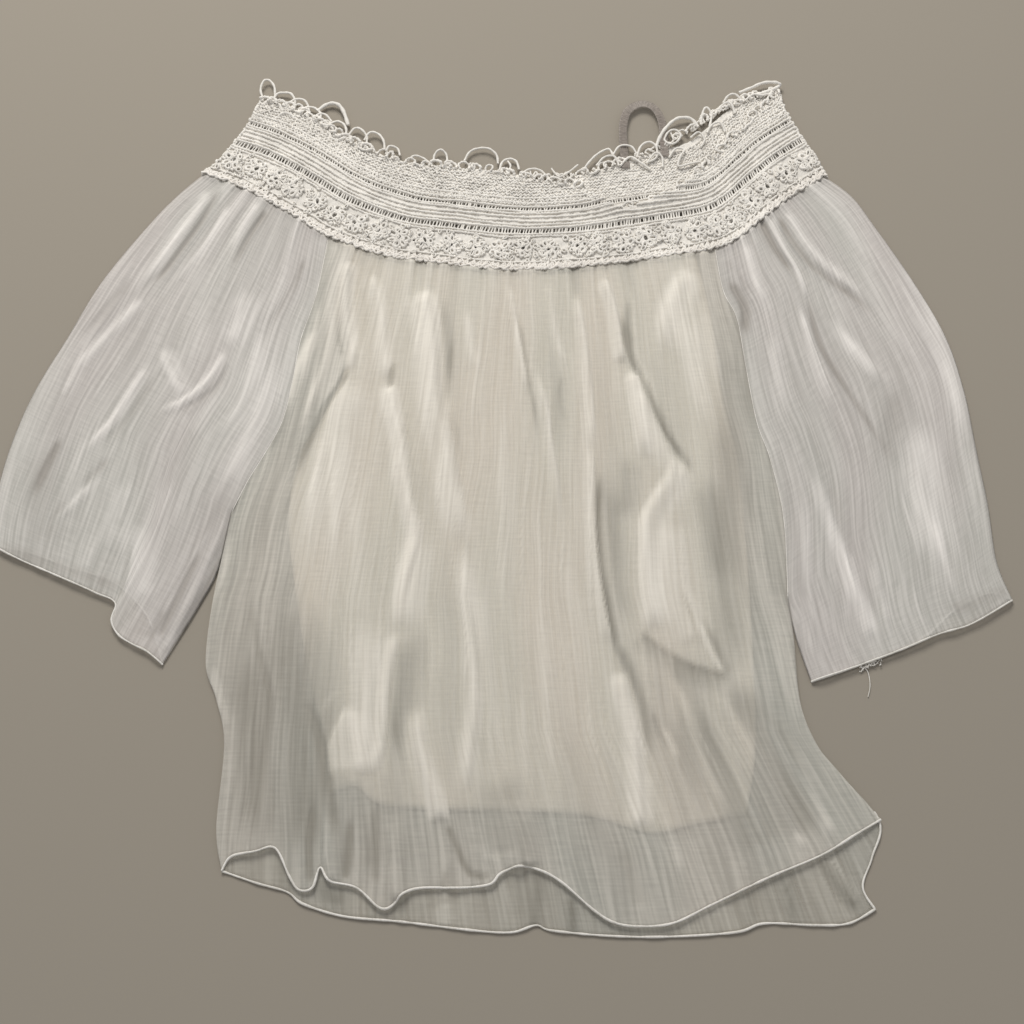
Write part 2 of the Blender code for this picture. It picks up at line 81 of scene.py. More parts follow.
frontHem = [(-161, -263), (-156, -255), (-142, -252), (-130, -250), (-121, -266), (-115, -274),
            (-107, -273), (-103, -261), (-97, -269), (-81, -273), (-68, -284), (-61, -284),
            (-53, -276), (-42, -273), (-20, -273), (-3, -271), (3, -265), (13, -261), (24, -262),
            (38, -269), (58, -286), (70, -293), (85, -295), (104, -293), (126, -283), (161, -267),
            (193, -254), (214, -242), (230, -233)]
backHem = [(-161, -263), (-140, -270), (-122, -275), (-112, -282), (-88, -289), (-55, -292),
           (-12, -297), (10, -298), (24, -294), (33, -297), (66, -300), (100, -300.5), (140, -298),
           (157, -293), (186, -294), (206, -293), (222, -285)]
foldLeft = [(-210, 223), (-227, 205), (-244, 182), (-272, 137), (-291, 93), (-309, 51), (-320, 10),
            (-325, -29), (-325, -57)]
foldRight = [(233, 221), (250, 205), (263, 182), (286, 137), (304, 93), (312, 51), (315, 10),
             (318, -30), (319, -69), (326, -95)]
underarmLeft = [(-171, -36), (-177, -74), (-187, -98), (-196, -116), (-207, -137)]
underarmRight = [(184, -94), (186, -112), (190, -130), (195, -148)]
cuffLeft = [(-207, -137), (-217, -129), (-227, -124), (-236, -118), (-241, -109), (-240, -97),
            (-254, -90), (-281, -78), (-306, -67), (-325, -57)]
cuffRight = [(195, -148), (222, -139), (252, -128), (276, -118), (298, -111), (326, -95)]
underCuffLeft = [(-207, -137), (-219, -106), (-242, -83), (-268, -74), (-298, -63), (-325, -57)]
underCuffRight = [(195, -148), (238, -133), (268, -119), (288, -102), (312, -90), (326, -95)]
liningTop = (-103, 137)
liningLeft = [(-101, 79), (-114, 36), (-129, 4), (-134, -40), (-126, -94), (-115, -147), (-104, -184),
              (-100, -218)]
liningRight = [(146, 107), (150, 52), (158, 0), (160, -60), (160, -130), (158, -190), (150, -230)]
liningHem = [(-100, -218), (-84, -213), (-69, -224), (-33, -227), (14, -228), (56, -231),
             (92, -241), (118, -236), (150, -230)]
loopRoute = [(91, 228), (90, 246), (90, 264), (94, 277), (104, 283), (113, 279), (118, 267),
             (119, 250), (119, 238)]

# Rows of the raglan seam, of the side below it and of the underarm, which keep their shares of a panel.
rowShares = {"raglan": 12, "side": 14, "underarm": 7}

# How high each layer's cloth lies, close to the middle of its wall in the part's source.
layerHeight = {"back": 0.55, "lining": 1.9, "side": 2.1, "raglan": 2.9, "front": 3.4, "sleeveFold": 1.3,
               "sleeveUpper": 3.1, "sleeveUnder": 0.6, "lace": 2.5, "backLace": 0.8}


def ease(t):
    t = np.clip(t, 0.0, 1.0)
    return t * t * (3.0 - 2.0 * t)


def smoothLine(points, steps):
    # A smooth line through a few points, in the plane or in space, with so many steps between two.
    points = np.array(points, float)
    ends = np.vstack([points[:1], points, points[-1:]])
    t = (np.arange(steps) / steps)[:, None]
    runs = [0.5 * (2 * b + (c - a) * t + (2 * a - 5 * b + 4 * c - d) * t ** 2
                   + (3 * b - a - 3 * c + d) * t ** 3)
            for a, b, c, d in zip(ends, ends[1:], ends[2:], ends[3:])]
    return np.vstack(runs + [points[-1:]])


class Line:
    # A smooth line in the plane, read by its share of the length.
    def __init__(self, points):
        self.points = smoothLine(points, 14)
        steps = np.linalg.norm(np.diff(self.points, axis=0), axis=1)
        self.lengths = np.concatenate([[0.0], np.cumsum(steps)])
        self.length = self.lengths[-1]

    def at(self, share):
        target = np.clip(share, 0.0, 1.0) * self.length
        return np.stack([np.interp(target, self.lengths, self.points[:, k]) for k in (0, 1)], axis=-1)

    def shareAtX(self, x):
        return float(np.interp(x, self.points[:, 0], self.lengths) / self.length)

    def stretch(self, start, stop):
        return lambda t: self.at(start + (stop - start) * np.asarray(t))


def joined(upper, upperRows, lower, lowerRows):
    # Two lines end to end, read so that each keeps its own even rows.
    def at(t):
        row = np.asarray(t) * (upperRows + lowerRows)
        first, second = upper.at(row / upperRows), lower.at((row - upperRows) / lowerRows)
        return np.where((row <= upperRows)[..., None], first, second)
    return at


def patch(top, bottom, left, right):
    # Place on the sheet spanned by four edges: u from left to right, v from top to bottom.
    topLeft, topRight, bottomLeft, bottomRight = top(0.0), top(1.0), bottom(0.0), bottom(1.0)

    def place(u, v):
        uu, vv = u[..., None], v[..., None]
        across = (1 - vv) * top(u) + vv * bottom(u)
        down = (1 - uu) * left(v) + uu * right(v)
        flat = ((1 - uu) * (1 - vv) * topLeft + uu * (1 - vv) * topRight
                + (1 - uu) * vv * bottomLeft + uu * vv * bottomRight)
        return across + down - flat
    return place


# A crease's route is read every so many millimetres, its painted light and shade reach further than its
# form, and its ends are a little blunt.
creaseLook = {"step": 7, "glow": 1.7, "blunt": 0.1}


def grainNoise(u, v, pitch, run, seed):
    # Smooth noise from -1 to 1 over the cloth: pitch across the grain, run along it.
    table = np.random.default_rng(seed).uniform(-1, 1, (256, 256))
    a, b = u / pitch, v / run
    i, j = np.floor(a).astype(int), np.floor(b).astype(int)
    s, t = ease(a - i), ease(b - j)
    low = table[i % 256, j % 256] * (1 - s) + table[(i + 1) % 256, j % 256] * s
    high = table[i % 256, (j + 1) % 256] * (1 - s) + table[(i + 1) % 256, (j + 1) % 256] * s
    return low * (1 - t) + high * t


def creaseRow(route, rise, left, right, shade, starts=0.3, ends=0.3, sharp=1.1):
    return Line(route), rise, left, right, shade, starts, ends, sharp


def creaseField(x, y, creases):
    # Height and tone of all the creases at each place; the tone is painted light where a crease bunches and
    # painted shade on a fold's far side. A crease has its own reach to each side of its route, seen going
    # down it, and fades towards its ends.
    height, tone = np.zeros_like(x), np.zeros_like(x)
    for row in creases:
        line, rise, left, right, shade, starts, ends, sharp = creaseRow(*row)
        points = line.at(np.linspace(0, 1, max(6, int(line.length / creaseLook["step"]))))
        reach = creaseLook["glow"] * max(left, right)
        near = ((x > points[:, 0].min() - reach) & (x < points[:, 0].max() + reach)
                & (y > points[:, 1].min() - reach) & (y < points[:, 1].max() + reach))
        if not near.any():
            continue
        px, py = x[near], y[near]
        best = np.full(px.shape, 1e9)
        side, along = np.zeros(px.shape), np.zeros(px.shape)
        for k, (a, b) in enumerate(zip(points, points[1:])):
            dx, dy = b - a
            t = np.clip(((px - a[0]) * dx + (py - a[1]) * dy) / (dx * dx + dy * dy), 0, 1)
            away = np.hypot(px - a[0] - dx * t, py - a[1] - dy * t)
            closer = away < best
            best = np.where(closer, away, best)
            side = np.where(closer, dx * (py - a[1]) - dy * (px - a[0]), side)
            along = np.where(closer, (k + t) / (len(points) - 1), along)
        # Going down a route, what is to the right in the photo has a positive side.
        half = np.where(side > 0, right, left)
        profile = 0.5 + 0.5 * np.cos(np.pi * np.clip(best / half, 0, 1))
        glow = 0.5 + 0.5 * np.cos(np.pi * np.clip(best / (half * creaseLook["glow"]), 0, 1))
        fade = ease(along / starts + creaseLook["blunt"]) * ease((1 - along) / ends + creaseLook["blunt"])
        height[near] += rise * profile * fade
        # The crease's tone, here called shade, is painted light above 0 and painted shade below 0.
        tone[near] += shade * glow ** sharp * fade
    return height, tone


def editAll(operator, **options):
    # Runs an operator on the whole of the active piece.
    bpy.ops.object.mode_set(mode="EDIT")
    bpy.ops.mesh.select_all(action="SELECT")
    operator(**options)
    bpy.ops.object.mode_set(mode="OBJECT")


def thicken(sheet, wall, inside=1):
    # Gives a sheet its wall, half to each side. The inner face takes the finish so many slots further on.
    shell = sheet.modifiers.new("wall", "SOLIDIFY")
    shell.thickness = wall * millimetre
    shell.offset = 0.0
    shell.material_offset = inside
    bpy.ops.object.modifier_apply(modifier="wall")


def joinPieces(pieces):
    bpy.ops.object.select_all(action="DESELECT")
    for piece in pieces:
        piece.select_set(True)
    bpy.context.view_layer.objects.active = pieces[0]
    bpy.ops.object.join()
    return bpy.context.object


def layGrid(name, columns, rows, place, wall, weld=False):
    # A grid primitive laid through place(column, row), which gives points in millimetres, how light or
    # shaded the cloth is painted there, and where each lies on the flat cloth, which becomes the UV map.
    bpy.ops.object.select_all(action="DESELECT")
    bpy.ops.mesh.primitive_grid_add(x_subdivisions=columns, y_subdivisions=rows, size=2.0)
    laid = bpy.context.object
    laid.name = laid.data.name = name
    mesh = laid.data
    spots = np.zeros(len(mesh.vertices) * 3)
    mesh.vertices.foreach_get("co", spots)
    spots = spots.reshape(-1, 3)
    u = np.rint((spots[:, 0] + 1) / 2 * columns) / columns
    v = np.rint((1 - spots[:, 1]) / 2 * rows) / rows
    points, tone, grain = place(u, v)
    mesh.vertices.foreach_set("co", (points * millimetre).ravel())
    mesh.attributes.new("tone", "FLOAT", "POINT").data.foreach_set("value", tone.astype(np.float32))
    corners = np.zeros(len(mesh.loops), np.int32)
    mesh.loops.foreach_get("vertex_index", corners)
    mesh.uv_layers[0].data.foreach_set("uv", (grain * millimetre)[corners].ravel())
    mesh.update()
    if weld:
        editAll(bpy.ops.mesh.remove_doubles, threshold=0.00002)
    if mesh.polygons[0].normal.z < 0:
        editAll(bpy.ops.mesh.flip_normals)
    mesh.materials.append(None)
    mesh.materials.append(None)
    if wall:
        thicken(laid, wall)
    bpy.ops.object.shade_smooth()
    return laid


def layCords(name, runs, sides=1):
    # Cords laid along runs of (points, radii) in millimetres, as one mesh.
    curve = bpy.data.curves.new(name, "CURVE")
    curve.dimensions = "3D"
    curve.bevel_depth = millimetre
    curve.bevel_resolution = sides
    curve.use_fill_caps = True
    for points, radii in runs:
        points, radii = np.array(points, float), np.asarray(radii, float)
        points[:, 2] = np.maximum(points[:, 2], radii + 0.02)
        spline = curve.splines.new("POLY")
        spline.points.add(len(points) - 1)
        places = np.hstack([points * millimetre, np.ones((len(points), 1))])
        spline.points.foreach_set("co", places.ravel())
        spline.points.foreach_set("radius", radii)
    cords = bpy.data.objects.new(name, curve)
    bpy.context.scene.collection.objects.link(cords)
    bpy.ops.object.select_all(action="DESELECT")
    cords.select_set(True)
    bpy.context.view_layer.objects.active = cords
    bpy.ops.object.convert(target="MESH")
    bpy.ops.object.shade_smooth()
    return bpy.context.object


def dress(piece, finish, slot, *nodes, inner=None):
    # Gives a piece its finishes, its body and the node that it stands for.
    if inner:
        piece.data.materials[0], piece.data.materials[1] = finish, inner
    else:
        piece.data.materials.clear()
        piece.data.materials.append(finish)
    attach(piece, "root")
    if nodes:
        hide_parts(*nodes)


def meshArea(piece):
    faces = np.zeros(len(piece.data.polygons))
    piece.data.polygons.foreach_get("area", faces)
    return faces.sum()


def newFinish(name, values):
    # A material with the plain numbers of its shader, its node tree and that shader.
    finish = bpy.data.materials.new(name)
    finish.use_nodes = True
    shader = finish.node_tree.nodes["Principled BSDF"]
    for socket, value in values.items():
        shader.inputs[socket].default_value = value
    return finish, finish.node_tree, shader


# Camera, light and floor
view = {"place": (0.010, -0.398, 0.900), "tilt": 22.0, "lens": 52.73, "sensor": 36.0}
light = {"place": (-0.35, 1.4, 1.5), "size": 0.9, "watts": 31.0, "colour": (1.0, 0.97, 0.92),
         "sky": (0.985, 0.98, 0.985), "skyStrength": 0.41}
floorLook = {"size": 6.0, "below": 0.0003,
             "shader": {"Base Color": (0.34, 0.308, 0.26, 1.0), "Roughness": 0.9,
                        "Specular IOR Level": 0.1}}


def setStage():
    bpy.context.scene.view_settings.view_transform = "Standard"
    bpy.ops.object.select_all(action="DESELECT")
    bpy.ops.object.camera_add(location=view["place"], rotation=(math.radians(view["tilt"]), 0, 0))
    camera = bpy.context.object
    camera.data.lens = view["lens"]
    camera.data.sensor_width = view["sensor"]
    bpy.context.scene.camera = camera

    bpy.ops.object.light_add(type="AREA", location=light["place"])
    lamp = bpy.context.object
    lamp.data.size = light["size"]
    lamp.data.energy = light["watts"]
    lamp.data.color = light["colour"]
    toward = -lamp.location
    lamp.rotation_euler = toward.to_track_quat("-Z", "Y").to_euler()

    world = bpy.data.worlds.new("softRoom")
    world.use_nodes = True
    sky = world.node_tree.nodes["Background"]
    sky.inputs["Color"].default_value = (*light["sky"], 1.0)
    sky.inputs["Strength"].default_value = light["skyStrength"]
    bpy.context.scene.world = world

    bpy.ops.mesh.primitive_plane_add(size=floorLook["size"], location=(0, 0, -floorLook["below"]))
    floor = bpy.context.object
    floor.name = "floor"
    floor.data.materials.append(newFinish("paleFloor", floorLook["shader"])[0])


setStage()
print("stage: camera, light and floor")

# Finishes
gauzeLook = {
    "body": {"light": (0.92, 0.875, 0.79), "shade": (0.27, 0.25, 0.21), "warm": (0.755, 0.715, 0.645),
             "cool": (0.72, 0.715, 0.65), "seeThrough": 0.38, "cover": 0.18},
    "sleeve": {"light": (0.95, 0.91, 0.865), "shade": (0.34, 0.315, 0.285), "warm": (0.80, 0.755, 0.725),
               "cool": (0.77, 0.76, 0.71), "seeThrough": 0.45, "cover": 0.2},
    # The back is the same gauze as the body in darker colours: painted shade.
    "back": {"light": (0.80, 0.77, 0.69), "shade": (0.22, 0.205, 0.17), "warm": (0.60, 0.575, 0.505),
             "cool": (0.565, 0.565, 0.51), "seeThrough": 0.36, "cover": 0.20},
}
gauzeMix = {"shader": {"Roughness": 0.92, "Specular IOR Level": 0.15, "Sheen Weight": 0.1},
            "weft": 0.22, "bunched": (0.36, 0.86), "drift": (0.3, 0.7), "bunchLight": 0.38,
            "hollowShade": 0.85, "toneCover": 0.38, "bump": (0.3, 0.0004)}
# Crinkles as counts in a metre of cloth, across the grain and along it.
grainLook = {"fine": (400, 17), "weft": (60, 800), "drift": (22, 5)}
innerLook = {"gauzeCover": 0.10, "liningCover": 0.3, "counts": (420, 10), "shade": 0.8,
             "shader": {"Roughness": 0.95, "Specular IOR Level": 0.1}}


def addNode(tree, kind, **values):
    made = tree.nodes.new(kind)
    for key, value in values.items():
        if key in made.inputs:
            made.inputs[key].default_value = value
        else:
            setattr(made, key, value)
    return made


def grainPattern(tree, uv, counts, detail):
    # Noise drawn out along the grain.
    scaled = addNode(tree, "ShaderNodeMapping", Scale=(counts[0], counts[1], 1.0))
    noise = addNode(tree, "ShaderNodeTexNoise", noise_dimensions="2D", Scale=1.0, Detail=detail)
    tree.links.new(uv.outputs["UV"], scaled.inputs["Vector"])
    tree.links.new(scaled.outputs["Vector"], noise.inputs["Vector"])
    return noise.outputs["Fac"]


def sums(tree, operation, first, second):
    made = addNode(tree, "ShaderNodeMath", operation=operation)
    for socket, value in zip(made.inputs, (first, second)):
        if isinstance(value, (int, float)):
            socket.default_value = value
        else:
            tree.links.new(value, socket)
    return made.outputs["Value"]


def spread(tree, value, low, high, toLow=0.0, toHigh=1.0):
    made = addNode(tree, "ShaderNodeMapRange", clamp=True)
    for name, number in (("From Min", low), ("From Max", high), ("To Min", toLow), ("To Max", toHigh)):
        made.inputs[name].default_value = number
    tree.links.new(value, made.inputs["Value"])
    return made.outputs["Result"]


def blendColours(tree, share, first, second):
    made = addNode(tree, "ShaderNodeMix", data_type="RGBA")
    colours = [socket for socket in made.inputs if socket.type == "RGBA"]
    for socket, value in zip(colours, (first, second)):
        if isinstance(value, tuple):
            socket.default_value = (*value, 1.0)
        else:
            tree.links.new(value, socket)
    tree.links.new(share, made.inputs[0])
    return next(socket for socket in made.outputs if socket.type == "RGBA")


def addBump(tree, shader, height, strength, distance):
    bump = addNode(tree, "ShaderNodeBump", Strength=strength, Distance=distance)
    tree.links.new(height, bump.inputs["Height"])
    tree.links.new(bump.outputs["Normal"], shader.inputs["Normal"])


def gauzeFinish(name, look):
    # Sheer cotton: where threads bunch it covers more and looks lighter. The tone paints light along a
    # crease's crest and shade on a fold's far side, and the cloth covers more either way.
    finish, tree, shader = newFinish(name, gauzeMix["shader"])
    uv = addNode(tree, "ShaderNodeUVMap", uv_map="UVMap")
    fine = grainPattern(tree, uv, grainLook["fine"], 1.0)
    weft = grainPattern(tree, uv, grainLook["weft"], 0.0)
    drift = grainPattern(tree, uv, grainLook["drift"], 0.0)
    tone = addNode(tree, "ShaderNodeAttribute", attribute_name="tone").outputs["Fac"]

    threads = sums(tree, "ADD", fine, sums(tree, "MULTIPLY", weft, gauzeMix["weft"]))
    bunched = spread(tree, threads, *gauzeMix["bunched"])
    # Painted shade where the tone is below 0, painted light where it is above 0.
    hollow = spread(tree, sums(tree, "MULTIPLY", tone, -1.0), 0.0, 1.0)
    ridge = spread(tree, tone, 0.0, 1.0)

    cloth = blendColours(tree, spread(tree, drift, *gauzeMix["drift"]), look["warm"], look["cool"])
    bunchLight = sums(tree, "MULTIPLY", bunched, gauzeMix["bunchLight"])
    hollowShade = sums(tree, "MULTIPLY", hollow, gauzeMix["hollowShade"])
    for share, colour in ((bunchLight, look["light"]), (ridge, look["light"]), (hollowShade, look["shade"])):
        cloth = blendColours(tree, share, cloth, colour)
    tree.links.new(cloth, shader.inputs["Base Color"])

    cover = spread(tree, bunched, 0.0, 1.0, look["seeThrough"], look["seeThrough"] + look["cover"])
    folded = sums(tree, "MULTIPLY", sums(tree, "ABSOLUTE", tone, 0.0), gauzeMix["toneCover"])
    tree.links.new(spread(tree, sums(tree, "ADD", cover, folded), 0.0, 1.0), shader.inputs["Alpha"])
    addBump(tree, shader, threads, *gauzeMix["bump"])
    return finish


def innerFinish(name, colour, cover):
    # The inner face of a sheet, whose threads show faintly.
    finish, tree, shader = newFinish(name, {**innerLook["shader"], "Alpha": cover})
    uv = addNode(tree, "ShaderNodeUVMap", uv_map="UVMap")
    threads = grainPattern(tree, uv, innerLook["counts"], 0.0)
    shade = tuple(channel * innerLook["shade"] for channel in colour)
    tree.links.new(blendColours(tree, spread(tree, threads, 0.3, 0.7), shade, colour),
                   shader.inputs["Base Color"])
    return finish


liningLook = {"light": (0.97, 0.905, 0.79), "shade": (0.90, 0.83, 0.715), "counts": (260, 20),
              "bump": (0.25, 0.0003),
              "shader": {"Roughness": 0.9, "Specular IOR Level": 0.15, "Alpha": 0.80}}
ribbonLook = {"light": (0.40, 0.35, 0.31), "shade": (0.25, 0.215, 0.19), "counts": (250, 1500),
              "bump": (0.3, 0.0002), "shader": {"Roughness": 0.5, "Sheen Weight": 0.3, "Alpha": 0.62}}


def wovenFinish(name, look):
    # Plain thin cloth: light and dark threads drawn out along its grain.
    finish, tree, shader = newFinish(name, look["shader"])
    uv = addNode(tree, "ShaderNodeUVMap", uv_map="UVMap")
    share = grainPattern(tree, uv, look["counts"], 1.0)
    colour = blendColours(tree, spread(tree, share, 0.35, 0.65), look["shade"], look["light"])
    tree.links.new(colour, shader.inputs["Base Color"])
    addBump(tree, shader, share, *look["bump"])
    return finish


threadMix = {"shader": {"Roughness": 0.85, "Specular IOR Level": 0.2, "Sheen Weight": 0.1},
             "patches": 60.0, "share": (0.36, 0.62), "bump": (0.5, 0.0003)}
threadLook = {
    "lace": {"light": (0.93, 0.90, 0.845), "shade": (0.78, 0.75, 0.70), "speckle": 900.0},
    # The net is the lace's thread in darker colours: painted shade, as it lies lower than the cords.
    "shadedLaceNet": {"light": (0.86, 0.83, 0.78), "shade": (0.68, 0.655, 0.61), "speckle": 800.0},
    "footThread": {"light": (0.94, 0.905, 0.85), "shade": (0.76, 0.72, 0.665), "speckle": 900.0},
    "hemThread": {"light": (0.90, 0.875, 0.83), "shade": (0.68, 0.655, 0.60), "speckle": 700.0},
}


def threadFinish(name, look):
    # Cotton thread: speckled by its fibres, and uneven in tone along the rows.
    finish, tree, shader = newFinish(name, threadMix["shader"])
    place = addNode(tree, "ShaderNodeTexCoord")
    speckle = addNode(tree, "ShaderNodeTexNoise", Scale=look["speckle"], Detail=2.0)
    patches = addNode(tree, "ShaderNodeTexNoise", Scale=threadMix["patches"], Detail=2.0)
    for noise in (speckle, patches):
        tree.links.new(place.outputs["Object"], noise.inputs["Vector"])
    share = sums(tree, "ADD", sums(tree, "MULTIPLY", speckle.outputs["Fac"], 0.5),
                 sums(tree, "MULTIPLY", patches.outputs["Fac"], 0.5))
    colour = blendColours(tree, spread(tree, share, *threadMix["share"]), look["shade"], look["light"])
    tree.links.new(colour, shader.inputs["Base Color"])
    addBump(tree, shader, speckle.outputs["Fac"], *threadMix["bump"])
    return finish


bodyGauze = gauzeFinish("bodyGauze", gauzeLook["body"])
sleeveGauze = gauzeFinish("sleeveGauze", gauzeLook["sleeve"])
gauzeInner = innerFinish("gauzeInner", gauzeLook["body"]["warm"], innerLook["gauzeCover"])
liningInner = innerFinish("liningInner", liningLook["shade"], innerLook["liningCover"])
shadedBackGauze = gauzeFinish("shadedBackGauze", gauzeLook["back"])
liningVoile = wovenFinish("liningVoile", liningLook)
laceThread = threadFinish("laceThread", threadLook["lace"])
shadedLaceNet = threadFinish("shadedLaceNet", threadLook["shadedLaceNet"])
footThread = threadFinish("footThread", threadLook["footThread"])
hemThread = threadFinish("hemThread", threadLook["hemThread"])
sheerRibbon = wovenFinish("sheerRibbon", ribbonLook)
print("finishes: gauze, lining, lace, hems and ribbon")

# Body panels and lining
gatherLook = {"pitch": 6.0, "run": 160.0, "height": 2.1, "fade": 38.0, "tone": 0.9}
crinkleLook = {"pitch": 4.4, "run": 70.0, "height": 0.15,
               "widePitch": 11.0, "wideRun": 140.0, "wideHeight": 0.5, "wideTone": 0.12,
               "linePitch": 3.4, "lineRun": 60.0, "lineFrom": 0.5, "lineHeight": 0.6, "lineTone": 0.38,
               "bandPitch": 23.0, "bandRun": 130.0, "bandTone": 0.22,
               "bendPitch": 24.0, "bendRun": 42.0, "bend": 2.2,
               "streakPitch": 2.6, "streakRun": 36.0, "foldStreak": 0.4, "foldTone": 1.4}
frontLook = {"columns": 250, "rows": 156, "width": 400.0, "wall": 0.3, "seamFlat": 2.5, "edgeRise": 9.0,
             "armpitBlend": 20}
backLook = {"columns": 130, "rows": 130, "width": 400.0, "wall": 0.3, "pitch": 6.0, "run": 70.0,
            "height": 0.22, "tonePitch": 9.0, "toneRun": 110.0, "tone": 0.3,
            "lowest": -0.25, "highest": 0.6}
liningCloth = {"columns": 120, "rows": 100, "width": 290.0, "length": 370.0, "wall": 0.3, "pitch": 16.0,
               "run": 120.0, "height": 0.2}
